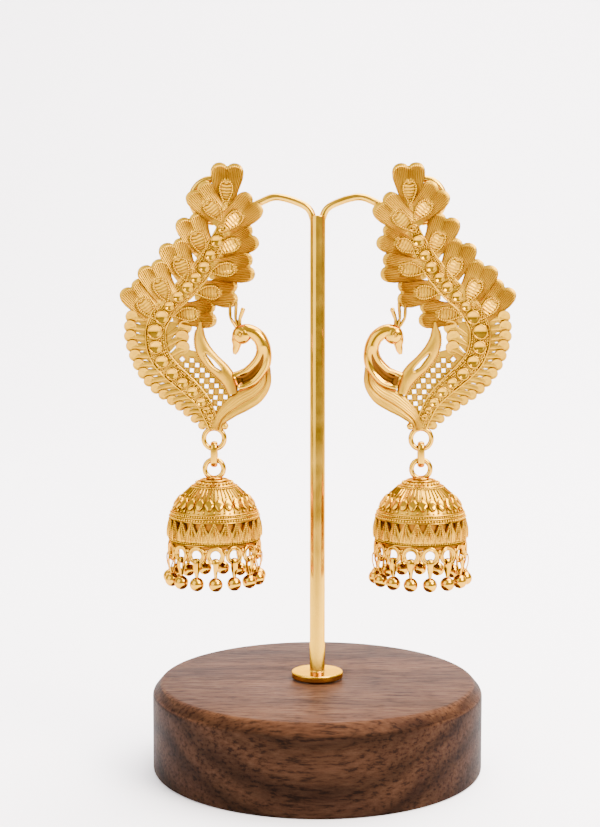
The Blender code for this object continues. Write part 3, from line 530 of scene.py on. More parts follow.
flange_foot = base_height + SEAT_GAP
pole_corners = [
    (0.0, NOTCH_HEIGHT - 1.0),
    (POLE_RADIUS, NOTCH_HEIGHT - 1.0),
    (POLE_RADIUS, flange_foot + FLANGE_THICKNESS),
    (FLANGE_RADIUS, flange_foot + FLANGE_THICKNESS),
    (FLANGE_RADIUS, flange_foot),
    (POLE_RADIUS, flange_foot),
    (POLE_RADIUS, base_height - SOCKET_DEPTH + SEAT_GAP),
    (0.0, base_height - SOCKET_DEPTH + SEAT_GAP),
]
# Brass, drawn and turned, polished and lacquered: a pale yellow with long soft lights.
brass = metal_material("polished_lacquered_brass", ("BC8E1C", "CC9E2C"), 0.18, 0.15, 0.12, 0.06, BRASS_EDGE)
pole_mesh = revolve(rounded_profile(pole_corners, 0.28), 64, "brass_pole", 40.0)
add_piece("brass_pole", pole_mesh, brass, "stand", ["stand_rod"])
for side, sense in (("left", -1), ("right", 1)):
    arm = Metalwork()
    arm.wire(arm_path(sense), ARM_WIRE, 16)
    arm_mesh = arm.object_mesh(f"brass_arm_{side}", in_metres)
    add_piece(f"brass_arm_{side}", arm_mesh, brass, "stand", ["stand_rod"])

# The ear plates: each is a pierced sheet of gold-plated brass, cast and soldered, with a flat
# back. This section is the sheet alone; all relief is soldered to its front.
PLATE_HEIGHT = 53.4
SHARE = PLATE_HEIGHT / 100.0  # the tables below give hundredths of the plate's height
PLATE_BACK = -1.0
SHEET_THICKNESS = 0.65
hinge_places = {joint["name"]: joint["pos_m"] for joint in frame["joints"]}
PLATE_RING_RADIUS = 2.0
PLATE_RING_WIRE = 0.49
RELIEF_BACK = 0.04

# Six finishes of the same gold plate. Satin is sandblasted and glows softly. Bright is tumbled and
# gives small sharp lights. Polished is buffed and mirrors. Grained is a cast wall with a broken
# sparkle. Shaded is the breast: its dark colour is a painted reflection of the hollow it mirrors.
# Dull is an unpolished inside, and its darker colour is painted shade.
satin_gold = metal_material("satin_gold_plate", ("AC7E12", "BC9016"), 0.36, 0.06, 0.35)
bright_gold = metal_material("bright_gold_beads", ("B88812", "C89A18"), 0.24, 0.08, 0.15)
polished_gold = metal_material("polished_gold_wire", ("B88612", "CA9818"), 0.14, 0.2, 0.05, 0.03)
grained_gold = metal_material("grained_gold_wall", ("B48616", "C6981E"), 0.32, 0.25, 0.9)
painted_reflection_gold = metal_material("breast_painted_reflection", ("4A2A08", "58340C"), 0.20, 0.25, 0.1)
# Partly painted shade: the inside is rougher, and its darker, redder base colour stands for shade.
dull_painted_shade_gold = metal_material("inner_gold_painted_shade", ("946010", "A86E18"), 0.5, 0.3, 0.3)

def plate_place(side):
    """The map from the plate's own millimetres (x to the pole, front, up) to metres."""
    x0, y0, z0 = hinge_places[f"link_{side}_swing"]
    sense = -1 if side == "left" else 1

    def place(vert):
        return (x0 - sense * vert[0] * MM, (PLATE_BACK - vert[1]) * MM,
                z0 + (PLATE_RING_RADIUS + vert[2]) * MM)
    return place

def add_metalwork(metal, name, side, place, material, body, replaced=()):
    """One gold piece of an earring from its collected shapes."""
    mesh = metal.object_mesh(f"{name}_{side}", place)
    add_piece(f"{name}_{side}", mesh, material, body, replaced)

def add_pair(metal, name, material):
    """The same relief on both plates, soldered to the sheet."""
    for side in ("left", "right"):
        add_metalwork(metal, name, side, plate_place(side), material, "stand")

for side in ("left", "right"):
    node = frame["nodes"][f"plate_{side}"]
    sheet = node.data.copy()
    sheet.name = f"pierced_sheet_{side}"
    sheet.materials.clear()
    front = (PLATE_BACK - SHEET_THICKNESS) * MM
    for vert in sheet.vertices:
        vert.co.y = max(vert.co.y, front)
    sheet.shade_flat()
    add_piece(f"pierced_sheet_{side}", sheet, satin_gold, "stand", [f"plate_{side}"])

# The leaves: eleven heart-shaped leaves, each pressed into a low dome with fine lines from its
# root, sandblasted, and trimmed inside with a drop of beaded wire.
Leaf = namedtuple("Leaf", "root_x root_z tip_x tip_z width")
LEAVES = (
    Leaf(4.5, 83.8, 5.3, 99.3, 11.6),
    Leaf(3.3, 78.3, -6.3, 90.6, 11.4),
    Leaf(3.1, 74.6, 15.2, 86.2, 11.4),
    Leaf(-3.4, 66.0, -8.9, 80.6, 11.6),
    Leaf(-9.6, 56.6, -14.9, 71.5, 11.6),
    Leaf(-16.4, 49.0, -22.9, 63.6, 11.6),
    Leaf(-21.0, 43.0, -30.4, 55.8, 11.4),
    Leaf(1.0, 67.0, 14.9, 74.3, 10.6),
    Leaf(-1.6, 60.2, 14.4, 62.7, 10.8),
    Leaf(-6.8, 52.8, 8.6, 53.2, 10.8),
    Leaf(-14.8, 44.6, 0.7, 45.9, 10.6),
)
LEAF_RIM = (
    (0.66, -1.0), (0.84, -1.02), (0.975, -0.83), (1.02, -0.48), (0.99, -0.16), (0.935, 0.0),
    (0.99, 0.16), (1.02, 0.48), (0.975, 0.83), (0.84, 1.02), (0.66, 1.0),
)
LEAF_ROOT_WIDTH = 0.40
LEAF_ROOT_INNER = 0.95
LEAF_WAIST = (0.36, 0.736)
LEAF_RIDGES = 20
LEAF_ROWS = 26
LEAF_LINE_DEPTH = 0.06
LEAF_FRONT = 0.60
LEAF_DOME = 0.42
LEAF_VALLEY = 0.22
LEAF_LIFT = 0.11
LEAF_BEAD_RADIUS = 0.22
LEAF_BEAD_PITCH = 0.42
LEAF_BEAD_LIFT = 0.17
LEAF_DROP = (0.05, 0.66)
LEAF_DROP_WIDTH = 0.60

class HeartLeaf:
    """One leaf's surface, from its root (along 0) to its lobes (along 1), across from -1 to 1."""

    def __init__(self, leaf, lift):
        self.spine_side = -1.0 if leaf.tip_x < leaf.root_x else 1.0
        self.root = Vector((leaf.root_x, leaf.root_z)) * SHARE
        self.along = Vector((leaf.tip_x, leaf.tip_z)) * SHARE - self.root
        self.across = Vector((-self.along.y, self.along.x)).normalized() * leaf.width * 0.5 * SHARE
        self.rim = spaced(smooth_path(LEAF_RIM, 12), 81)
        self.lift = lift

    def point(self, along, across):
        """A place on the leaf in the plate's plane."""
        place = (across + 1.0) * 0.5 * (len(self.rim) - 1)
        index = min(int(place), len(self.rim) - 2)
        part = place - index
        top = [a + (b - a) * part for a, b in zip(self.rim[index], self.rim[index + 1])]
        side = top[1]
        waist = (LEAF_WAIST[0] * (1.0 - 0.1 * abs(side)), side * LEAF_WAIST[1])
        near_spine = side * self.spine_side > 0.0 and abs(self.along.x) > 0.2 * abs(self.along.y)
        foot = (0.0, side * (LEAF_ROOT_INNER if near_spine else LEAF_ROOT_WIDTH))
        share = [
            f * (1 - along) ** 2 + w * 2 * along * (1 - along) + t * along ** 2
            for f, w, t in zip(foot, waist, top)
        ]
        spot = self.root + self.along * share[0] + self.across * share[1]
        return spot.x, spot.y

    def height(self, along, across):
        """The leaf's front: a low dome with a valley between its two lobes."""
        edge = max(0.0, (1.0 - abs(across) ** 6) * (1.0 - along ** 14))
        dome = LEAF_DOME * edge ** 0.5 * (0.45 + 0.55 * math.sin(math.pi * min(1.0, along * 0.72 + 0.1)))
        valley = LEAF_VALLEY * math.exp(-(across / 0.20) ** 2) * max(0.0, (along - 0.6) / 0.4)
        return LEAF_FRONT + self.lift + dome - valley * edge ** 0.5

def drop_half_width(along):
    """Half the width of the wire drop on a leaf, as a share of the leaf's."""
    share = (along - LEAF_DROP[0]) / (LEAF_DROP[1] - LEAF_DROP[0])
    if not 0.0 < share < 1.0:
        return 0.0
    return LEAF_DROP_WIDTH * 2.0 * math.sqrt(share * (1.0 - share)) * share ** 0.55

def add_leaf(metal, beads, leaf, lift):
    """A leaf with its pressed lines, and the beaded drop on it."""
    shape = HeartLeaf(leaf, lift)
    columns = LEAF_RIDGES * 2
    rows = []
    backs = []
    for row in range(LEAF_ROWS + 1):
        along = row / LEAF_ROWS
        front_row = []
        back_row = []
        for column in range(columns + 1):
            across = -1.0 + 2.0 * column / columns
            x, z = shape.point(along, across)
            fade = min(1.0, along * 5.0) * min(1.0, (1.0 - along) * 30.0) * min(1.0, (1 - abs(across)) * 20.0)
            line = row if abs(across) < drop_half_width(along) else column
            depth = LEAF_LINE_DEPTH * (0.5 + along if line is column else 1.6)
            ridge = (depth if line % 2 else -depth) * fade
            front_row.append((x, shape.height(along, across) + ridge, z))
            back_row.append((x, RELIEF_BACK, z))
        rows.append(front_row)
        backs.append(back_row)
    around = [backs[0]] + rows + [backs[-1]]
    metal.grid([[backs_row[0]] + list(row) + [backs_row[-1]]
                for backs_row, row in zip([backs[0]] + backs + [backs[-1]], around)])
    metal.grid([row[::-1] for row in backs])
    drop = []
    for step in range(61):
        turn = math.tau * step / 60
        open_share = (1.0 - math.cos(turn)) * 0.5
        along = LEAF_DROP[0] + (LEAF_DROP[1] - LEAF_DROP[0]) * open_share
        across = LEAF_DROP_WIDTH * math.sin(turn) * open_share ** 0.55
        x, z = shape.point(along, across)
        drop.append((x, shape.height(along, across) + LEAF_BEAD_LIFT, z))
    add_bead_line(beads, drop, LEAF_BEAD_RADIUS, LEAF_BEAD_PITCH)

def add_bead_line(metal, path, radius, pitch):
    """Beads of one size at an even pitch along a line."""
    left = 0.0
    for first, second in zip(path, path[1:]):
        length = math.dist(first, second)
        while left < length:
            share = left / length
            metal.bead([a + (b - a) * share for a, b in zip(first, second)], radius)
            left += pitch
        left -= length

leaves = Metalwork()
leaf_beads = Metalwork()
for number, leaf in enumerate(LEAVES):
    add_leaf(leaves, leaf_beads, leaf, LEAF_LIFT * (number % 3))
add_pair(leaves, "pressed_leaves", satin_gold)
add_pair(leaf_beads, "leaf_bead_wire", bright_gold)

# The spine: a raised band between two round wires, set with flat round cups and filled with
# granules, all soldered down from the top leaf to the lower ring.
Station = namedtuple("Station", "x z width")
SPINE = (
    Station(4.6, 86.0, 1.8),
    Station(3.7, 78.8, 2.6),
    Station(1.5, 71.3, 5.2),
    Station(-3.2, 62.8, 7.0),
    Station(-9.1, 55.4, 7.6),
    Station(-15.8, 49.0, 7.6),
    Station(-20.2, 42.2, 7.2),
    Station(-21.0, 36.4, 7.4),
    Station(-19.4, 29.9, 7.2),
    Station(-15.0, 24.4, 6.8),
    Station(-8.6, 18.6, 6.0),
    Station(-3.9, 13.4, 5.0),
    Station(-1.0, 7.3, 4.4),
    Station(0.2, 3.6, 3.6),
)
Disc = namedtuple("Disc", "x z radius")
CUPS = (
    Disc(3.3, 76.2, 1.5),
    Disc(1.4, 71.6, 2.1),
    Disc(-0.9, 66.4, 1.9),
    Disc(-3.2, 62.2, 2.0),
    Disc(-6.2, 58.4, 1.9),
    Disc(-9.1, 55.0, 2.0),
    Disc(-12.6, 51.6, 1.9),
    Disc(-15.8, 48.2, 1.7),
    Disc(-18.5, 44.2, 2.5),
    Disc(-21.1, 39.0, 2.7),
    Disc(-20.9, 33.4, 2.4),
    Disc(-18.7, 28.1, 2.3),
    Disc(-15.0, 23.7, 2.2),
    Disc(-11.2, 20.4, 1.9),
    Disc(-7.6, 17.2, 1.9),
    Disc(-4.6, 13.4, 1.7),
    Disc(-2.6, 10.6, 1.2),
    Disc(-1.1, 8.1, 1.1),
)
SPINE_FOOT = 0.62
SPINE_TOP = 0.95
SPINE_EDGE = 0.98
SPINE_WIRE = 0.19
GRANULE_RADIUS = 0.20
GRANULE_PITCH = 0.42
CUP_TOP = 1.42
CUP_WIRE = 0.15
CUP_SIDES = 20

def in_mm(stations, steps):
    """A smooth line through stations, as (x, z, width) in millimetres."""
    return [(x * SHARE, z * SHARE, width * SHARE) for x, z, width in smooth_path(stations, steps)]

def band_point(line, index, share, front):
    """A place across a band, from its left edge (-1) to its right edge (1)."""
    x, z, width = line[index]
    before = line[max(0, index - 1)]
    after = line[min(len(line) - 1, index + 1)]
    length = math.dist(before[:2], after[:2])
    offset = 0.5 * width * share / length
    return (x + (after[1] - before[1]) * offset, front, z - (after[0] - before[0]) * offset)

def add_band(metal, line, height, columns=10, left=-1.0, right=1.0, back=RELIEF_BACK):
    """A closed strip along a line; height(along, across) gives its front."""
    rows = []
    for index in range(len(line)):
        along = index / (len(line) - 1)
        start = left(along) if callable(left) else left
        end = right(along) if callable(right) else right
        shares = [start + (end - start) * column / columns for column in range(columns + 1)]
        row = [band_point(line, index, shares[0], back)]
        row += [band_point(line, index, share, height(along, share)) for share in shares]
        row += [band_point(line, index, shares[-1], back)]
        rows.append(row)
    metal.grid(rows, True, True)

def add_turned(metal, centre, profile, sides=CUP_SIDES):
    """A small turned shape whose axis points to the front."""
    x, z = centre
    rows = []
    for radius, front in profile:
        rows.append([(x + radius * a, front, z + radius * b) for a, b in circle(sides)])
    metal.grid(rows, True, True)

def add_cup(metal, cup):
    """A round setting: a polished hollow disc inside a raised rim."""
    radius = cup.radius * SHARE
    x, z = cup.x * SHARE, cup.z * SHARE
    add_turned(metal, (x, z), [
        (radius, 0.5), (radius, CUP_TOP), (radius - 0.22, CUP_TOP), (radius * 0.6, CUP_TOP - 0.16),
        (radius * 0.3, CUP_TOP - 0.24), (0.02, CUP_TOP - 0.27),
    ])
    reach = radius - 0.10
    rim = [(x + reach * a, CUP_TOP + 0.02, z + reach * b) for a, b in circle(24)]
    metal.wire(rim, CUP_WIRE, 8, True)

def spine_height(along, across):
    """A flat crown that falls off at both edges."""
    return SPINE_FOOT + (SPINE_TOP - SPINE_FOOT) * math.sqrt(max(0.0, 1.0 - across ** 4))

def add_granules(metal, line, radius, pitch, top, clear):
    """Rows of granules across a band, left out where a cup sits."""
    left = 0.0
    for index in range(len(line) - 1):
        length = math.dist(line[index][:2], line[index + 1][:2])
        while left < length:
            half = line[index][2] * 0.5 - 0.30
            count = max(1, int(2 * half / pitch) + 1)
            for number in range(count):
                offset = (number - (count - 1) * 0.5) * pitch
                share = offset / (line[index][2] * 0.5)
                x, front, z = band_point(line, index, share, top)
                if all(math.dist((x, z), (cup.x * SHARE, cup.z * SHARE)) > cup.radius * SHARE + clear
                       for cup in CUPS):
                    metal.bead((x, front, z), radius)
            left += pitch
        left -= length

spine_line = in_mm(SPINE, 14)
spine = Metalwork()
add_band(spine, spine_line, spine_height)
for share in (-0.97, 0.97):
    edge = [band_point(spine_line, index, share, SPINE_EDGE) for index in range(len(spine_line))]
    spine.wire(edge, SPINE_WIRE, 10)
spine_beads = Metalwork()
add_granules(spine_beads, spine_line, GRANULE_RADIUS, GRANULE_PITCH, SPINE_TOP + 0.04, 0.14)
cups = Metalwork()
for cup in CUPS:
    add_cup(cups, cup)
add_pair(spine, "spine_band", bright_gold)
add_pair(spine_beads, "spine_granules", bright_gold)
add_pair(cups, "spine_cups", polished_gold)

# The barbs: fifteen short arms with round ends along the outer curve, and three by the wing,
# cut from the sheet with slim slots between them and rounded by the casting.
BARB_COUNT = 15
BARB_LEAN = 0.30
BARB_BOW = 0.04
BARB_ROOT = 0.62
BARB_CURVE = (
    Station(-29.6, 44.4, 3.7),
    Station(-30.3, 38.4, 3.7),
    Station(-28.9, 31.5, 3.6),
    Station(-26.0, 24.6, 3.4),
    Station(-21.2, 18.5, 3.2),
    Station(-15.5, 14.2, 3.0),
    Station(-10.1, 10.2, 2.8),
    Station(-4.2, 4.9, 2.6),
)
INNER_BARBS = (Disc(-10.4, 40.6, 2.0), Disc(-11.4, 37.0, 2.0), Disc(-11.2, 33.2, 2.0))
INNER_ROOTS = ((-16.6, 37.4), (-17.2, 33.6), (-16.0, 29.8))
Turning = namedtuple("Turning", "radius front")
PETAL_PROFILE = (
    Turning(1.0, RELIEF_BACK), Turning(1.0, 0.72), Turning(0.94, 0.90), Turning(0.82, 0.92),
    Turning(0.70, 0.82), Turning(0.4, 0.88), Turning(0.02, 0.90),
)

def add_petal(metal, centre, size, lean):
    """A flat round end that leans a little, so that each one lies over the next."""
    rows = []
    for share, front in PETAL_PROFILE:
        row = []
        for place in circle(24):
            spot = Vector(place) * share
            raised = BARB_LEAN * spot.dot(lean) if front > 0.5 else 0.0
            row.append((centre.x + spot.x * size, front + raised, centre.y + spot.y * size))
        rows.append(row)
    metal.grid(rows, True, True)

def add_barb(metal, root, end, radius, lean):
    """One arm, bowed and widening, with its round end."""
    start = Vector(root) * SHARE
    stop = Vector(end) * SHARE
    size = radius * SHARE * 1.28
    run = stop - start
    bow = Vector((-run.y, run.x)) * BARB_BOW
    if bow.dot(lean) < 0.0:
        bow = -bow
    line = []
    for step in range(11):
        share = step / 10
        spot = start + run * share + bow * 4.0 * share * (1.0 - share)
        line.append((spot.x, spot.y, BARB_ROOT + (size * 1.25 - BARB_ROOT) * share))
    add_band(metal, line, lambda along, across: 0.60 + 0.26 * math.sqrt(max(0.0, 1.0 - across ** 4)), 8)
    add_petal(metal, stop, size, lean)

barbs = Metalwork()
ends = spaced(smooth_path(BARB_CURVE, 4), BARB_COUNT)
roots = spaced(smooth_path(SPINE[6:], 4), BARB_COUNT)
for number in range(BARB_COUNT):
    x, z, width = ends[number]
    above = ends[max(0, number - 1)]
    below = ends[min(BARB_COUNT - 1, number + 1)]
    lean = Vector((above[0] - below[0], above[1] - below[1])).normalized()
    add_barb(barbs, roots[number][:2], (x, z), width * 0.5, lean)
for disc, root in zip(INNER_BARBS, INNER_ROOTS):
    add_barb(barbs, root, (disc.x, disc.z), disc.radius, Vector((0.0, 1.0)))
add_pair(barbs, "barbs", satin_gold)

# The net: a small grid of thin wires between spine and wing, soldered where they cross, over
# the square holes of the sheet, with a bead at each crossing.
NetRow = namedtuple("NetRow", "start_x start_z end_x end_z bow count")
NET_ROWS = (
    NetRow(-7.9, 28.6, 4.2, 15.2, 0.5, 8),
    NetRow(-9.8, 26.8, 2.1, 12.9, 0.5, 8),
    NetRow(-11.2, 24.6, 0.3, 11.2, 0.5, 7),
    NetRow(-11.4, 29.0, -11.4, 29.0, 0.0, 1),
)
NET_HOLE = 1.7
NET_WIRE = 0.14
NET_FRONT = 0.76
NET_BEAD = 0.15

def net_places():
    """Each hole's centre, with the direction of its row."""
    for row in NET_ROWS:
        run = Vector((row.end_x - row.start_x, row.end_z - row.start_z))
        across = Vector((-run.y, run.x)).normalized() if run.length else Vector((0.0, 1.0))
        along = run.normalized() if run.length else Vector((1.0, 0.0))
        for number in range(row.count):
            share = number / max(1, row.count - 1)
            swell = row.bow * 4.0 * share * (1.0 - share)
            yield Vector((row.start_x, row.start_z)) + run * share + across * swell, along, across

net = Metalwork()
for centre, along, across in net_places():
    reach = NET_HOLE * 0.62 + 0.14
    corners = []
    for cosine, sine in circle(16):
        bulge = 1.0 / (abs(cosine) + abs(sine)) ** 0.75
        spot = (centre + (along * cosine + across * sine) * reach * bulge) * SHARE
        corners.append((spot.x, NET_FRONT, spot.y))
    net.wire(corners, NET_WIRE, 6, True)
    for direction in (along, -along, across, -across):
        bead = (centre + direction * (reach + 0.16)) * SHARE
        net.bead((bead.x, NET_FRONT - 0.04, bead.y), NET_BEAD)
add_pair(net, "net_wires", bright_gold)

# The peacock: a cast wing with one slot, a polished neck with its head, beak and crest, and a
# lined tail under the breast. All are soldered to the sheet and to the lowest leaf.
WING = (
    Station(-4.6, 42.6, 1.4),
    Station(-5.0, 37.1, 4.0),
    Station(-3.5, 32.1, 5.6),
    Station(-0.3, 27.8, 6.2),
    Station(3.1, 24.5, 6.2),
    Station(5.7, 20.9, 5.4),
    Station(7.0, 16.3, 3.6),
)
WING_SLOT_SHARES = (0.36, 0.66)
WING_SLOT_OPEN = 0.26
NECK = (
    Station(8.2, 20.6, 7.6),
    Station(13.2, 22.6, 7.8),
    Station(17.2, 27.3, 7.0),
    Station(18.2, 32.4, 5.4),
    Station(16.6, 36.8, 5.0),
    Station(13.4, 39.0, 5.0),
    Station(10.4, 38.9, 5.2),
    Station(8.5, 37.4, 3.4),
)
BEAK = (
    Station(9.2, 37.6, 5.2),
    Station(8.6, 35.6, 4.2),
    Station(8.4, 34.0, 3.0),
    Station(8.0, 32.2, 2.4),
    Station(7.6, 30.8, 1.2),
)
CRESTS = (
    (Station(8.9, 39.6, 1.0), Station(6.2, 44.0, 1.0), Station(6.0, 49.4, 1.0)),
    (Station(9.2, 39.8, 1.0), Station(8.0, 43.8, 1.0), Station(8.3, 49.4, 1.2)),
    (Station(9.6, 39.8, 1.2), Station(9.5, 43.4, 1.2), Station(10.6, 46.6, 1.6)),
)
HEAD = Disc(10.3, 37.9, 3.5)
EYE = Disc(9.7, 38.2, 1.0)
CREST_BEAD = Disc(10.7, 46.9, 0.9)
TAIL = (
    Station(18.8, 26.2, 3.6),
    Station(18.2, 20.4, 5.4),
    Station(14.9, 16.5, 7.6),
    Station(10.3, 13.8, 8.2),
    Station(5.8, 10.6, 6.6),
    Station(2.4, 7.3, 5.0),
    Station(1.0, 3.3, 3.8),
)
TAIL_BALL = Disc(4.0, 4.6, 1.3)
TAIL_RIDGES = 9
PEACOCK_FOOT = 0.66
WING_CROWN, WING_LIP = 0.85, 0.35
NECK_CROWN, BREAST_SCOOP = 1.45, 1.10
TAIL_CROWN, TAIL_GROOVE, TAIL_LINE = 0.70, 0.28, 0.05

def slot_opening(along):
    """Half of the wing slot's width as a share of the wing, narrowing to a point."""
    start, end = WING_SLOT_SHARES
    if not start < along < end:
        return 0.0
    share = (along - start) / (end - start)
    return WING_SLOT_OPEN * math.sin(math.pi * share) ** 0.7

def wing_height(along, across):
    """Round, and lower along the slot's edge."""
    gap = slot_opening(along)
    crown = math.sqrt(max(0.0, 1.0 - across ** 2))
    lip = math.exp(-((abs(across) - gap) / 0.16) ** 2) * min(1.0, gap * 12.0)
    return PEACOCK_FOOT + WING_CROWN * crown - WING_LIP * lip

def neck_height(along, across):
    """Round over the nape, with a scooped breast between two rims."""
    crown = math.sqrt(max(0.0, 1.0 - across ** 2))
    breast = max(0.0, 1.0 - along / 0.46) ** 0.7 if along < 0.46 else 0.0
    scoop = breast * BREAST_SCOOP * math.exp(-((across + 0.05) / 0.52) ** 4) * min(1.0, along * 14.0)
    return PEACOCK_FOOT + NECK_CROWN * crown ** 0.9 - scoop

def tail_height(along, across):
    """Round, with fine lines along it and one deep groove."""
    crown = math.sqrt(max(0.0, 1.0 - across ** 2))
    groove = TAIL_GROOVE * math.exp(-((across + 0.30) / 0.10) ** 2)
    ridges = TAIL_LINE * math.cos(math.pi * TAIL_RIDGES * (across + 1.0))
    return PEACOCK_FOOT + TAIL_CROWN * crown + ridges * crown - groove * crown

def painted_reflection_height(along, across):
    """A dark sheet over the scooped breast, just in front of the neck: a painted reflection."""
    return neck_height(0.024 + 0.38 * along, across) + 0.03

def beak_height(along, across):
    """Round, and lower towards the tip."""
    return 0.7 + (1.15 - 0.6 * along) * math.sqrt(max(0.0, 1.0 - across ** 2))

wing = Metalwork()
wing_line = in_mm(WING, 12)
add_band(wing, wing_line, wing_height, 10, -1.0, lambda along: -slot_opening(along))
add_band(wing, wing_line, wing_height, 10, slot_opening, 1.0)
tail = Metalwork()
add_band(tail, in_mm(TAIL, 14), tail_height, TAIL_RIDGES * 6)
wing_beads = Metalwork()
edges = [[band_point(wing_line, index, share, 0.85) for index in range(len(wing_line))]
         for share in (-1.0, 1.0)]
outer = min(edges, key=lambda path: sum(point[0] for point in path))
add_bead_line(wing_beads, outer[8:], 0.19, 0.40)
wing_beads.bead((TAIL_BALL.x * SHARE, 0.95, TAIL_BALL.z * SHARE), TAIL_BALL.radius * SHARE, True)
neck_line = in_mm(NECK, 12)
peacock = Metalwork()
add_band(peacock, neck_line, neck_height, 24)
# A dark sheet laid over the breast's scoop: a painted reflection of the dark hollow.
breast = Metalwork()
add_band(breast, neck_line[2:34], painted_reflection_height, 12,
         lambda along: -0.50 * (1.0 - along) ** 0.5 - 0.05, lambda along: 0.42 * (1.0 - along) ** 0.5 - 0.05)
peacock.bead((HEAD.x * SHARE, 1.05, HEAD.z * SHARE), HEAD.radius * SHARE, True, 0.70)
add_band(peacock, in_mm(BEAK, 8), beak_height, 10)
eye_x, eye_z, eye_radius = EYE.x * SHARE, EYE.z * SHARE, EYE.radius * SHARE
peacock.wire([(eye_x + eye_radius * a, 2.32, eye_z + eye_radius * b) for a, b in circle(20)], 0.10, 8, True)
peacock.bead((eye_x, 2.30, eye_z), 0.26)
for crest in CRESTS:
    line = in_mm(crest, 8)
    peacock.wire([(x, 0.85, z) for x, z, width in line], [width * 0.5 for x, z, width in line], 10)
peacock.bead((CREST_BEAD.x * SHARE, 0.9, CREST_BEAD.z * SHARE), CREST_BEAD.radius * SHARE, True)
add_pair(wing, "wing", satin_gold)
add_pair(tail, "tail_feathers", satin_gold)
add_pair(wing_beads, "wing_beads", bright_gold)
add_pair(peacock, "peacock_neck", polished_gold)
add_pair(breast, "peacock_breast_painted_reflection", painted_reflection_gold)

# The fittings: the plate's lower ring, the ear post behind the second leaf and the push-on nut
# on it. The post and the nut are plain, because the photo hides them.
POST_RADIUS = 0.45
for side in ("left", "right"):
    ring = Metalwork()
    front = -(hinge_places[f"link_{side}_swing"][1] / MM - PLATE_BACK)
    path = [(PLATE_RING_RADIUS * a, front, PLATE_RING_RADIUS * b) for a, b in circle(48)]
    ring.wire(path, PLATE_RING_WIRE + 0.02, 16, True)
    add_metalwork(ring, "plate_ring", side, plate_place(side), polished_gold, "stand")
    nut_low, nut_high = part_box(f"back_nut_{side}")
    nut_x, nut_z = (nut_low[0] + nut_high[0]) * 0.5 / MM, (nut_low[2] + nut_high[2]) * 0.5 / MM
    nut_front, nut_back = nut_low[1] / MM, nut_high[1] / MM
    post_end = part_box(f"plate_{side}")[1][1] / MM
    post = Metalwork()
    add_turned(post, (nut_x, nut_z), [
        (POST_RADIUS * 0.55, post_end), (POST_RADIUS, post_end - 0.3), (POST_RADIUS, PLATE_BACK - 0.5),
    ], 24)
    add_metalwork(post, "ear_post", side, in_metres, polished_gold, "stand")
    nut = Metalwork()
    nut_radius = (nut_high[0] - nut_low[0]) * 0.5 / MM
    add_turned(nut, (nut_x, nut_z), [
        (POST_RADIUS + 0.3, nut_front), (nut_radius - 0.15, nut_front), (nut_radius, nut_front + 0.2),
        (nut_radius, nut_front + 0.55), (nut_radius * 0.72, nut_front + 0.8),
        (nut_radius * 0.72, nut_back - 0.15), (nut_radius * 0.66, nut_back), (POST_RADIUS + 0.3, nut_back),
    ], 40)
    add_metalwork(nut, "push_nut", side, in_metres, polished_gold, "stand", [f"back_nut_{side}"])

# The link: a long oval bent from flat strip and closed with solder, that hangs in the plate's
# ring and carries the bell's ring across it.
LINK_LENGTH = 4.5
LINK_HALF_WIDTH = 1.205
LINK_STRAP = 0.66
LINK_FLATNESS = 0.5
LINK_TOP = 1.19

def oval_path(top, bottom, half_width):
    """A long link's centre line across the plate, two half circles joined by straight sides."""
    points = []
    for end, start in ((top - half_width, 0.0), (bottom + half_width, math.pi)):
        for step in range(17):
            angle = start + math.pi * step / 16
            points.append((0.0, half_width * math.cos(angle), end + half_width * math.sin(angle)))
    return points

def hung_place(joint, below=0.0):
    """The map from millimetres about a joint, or below it, to metres."""
    x0, y0, z0 = hinge_places[joint]

    def place(vert):
        return (x0 + vert[0] * MM, y0 + vert[1] * MM, z0 + (vert[2] - below) * MM)
    return place

link = Metalwork()
link.wire(oval_path(LINK_TOP, LINK_TOP - LINK_LENGTH, LINK_HALF_WIDTH), LINK_STRAP, 16, True, LINK_FLATNESS)
for side in ("left", "right"):
    body = f"link_{side}"
    add_metalwork(link, "oval_link", side, hung_place(f"{body}_swing"), polished_gold, body, [body])

# The bells: a thin raised dome in belts, with ribs and pointed leaves above a corded band, a
# belt of upright teeth with open gaps under it, and a plain rim that carries fifteen hoops.
BELL_RADIUS = 9.3
BELL_HEIGHT = 12.6
BELL_DROP = 15.2
Section = namedtuple("Section", "radius height")
BELL_WALL_LINE = (
    Section(0.10, 1.0), Section(0.285, 0.985), Section(0.38, 0.945), Section(0.48, 0.895),
    Section(0.64, 0.785), Section(0.77, 0.67), Section(0.855, 0.57), Section(0.895, 0.505),
    Section(0.922, 0.44), Section(0.942, 0.40),
)
TEETH_COUNT = 24
TEETH_FOOT, TEETH_WEB, TEETH_TIP = 0.11, 0.245, 0.405
TOOTH_RIDGE = 0.36
TOOTH_DEPTH = 0.5
TOOTH_BEAD = 0.16
TOOTH_WIRE = 0.14
RIM_RADIUS = 8.95
BELL_TURN = {"left": 10.9, "right": 14.5}
HOOP_COUNT = 15
HOOP_RING = 8.786
HOOP_CENTRE = -1.1
HOOP_RADIUS = 1.4
HoopWire = namedtuple("HoopWire", "radius thickness sides")
HOOP_WIRES = (
    HoopWire(HOOP_RADIUS + 0.14, 0.28, 8), HoopWire(HOOP_RADIUS - 0.28, 0.22, 8),
    HoopWire(HOOP_RADIUS - 0.10, 0.22, 6),
)
GAP_BEADS = ((-0.25, 0.40), (-0.80, 0.34))  # height and radius of the beads between two hoops
RingWire = namedtuple("RingWire", "height out radius")
BELL_RING_WIRES = (
    RingWire(0.985, 0.0, 0.22), RingWire(0.912, -0.02, 0.10), RingWire(0.520, 0.10, 0.15),
    RingWire(0.468, 0.12, 0.14),
)
BELL_RIB_WIRE, BELL_STEM_WIRE = 0.11, 0.09
LINING_GAP = 0.72
BELL_LEAF = {"share": 0.665, "length": 3.0, "width": 1.80, "rise": 0.42}
BeadRing = namedtuple("BeadRing", "height out radius count")
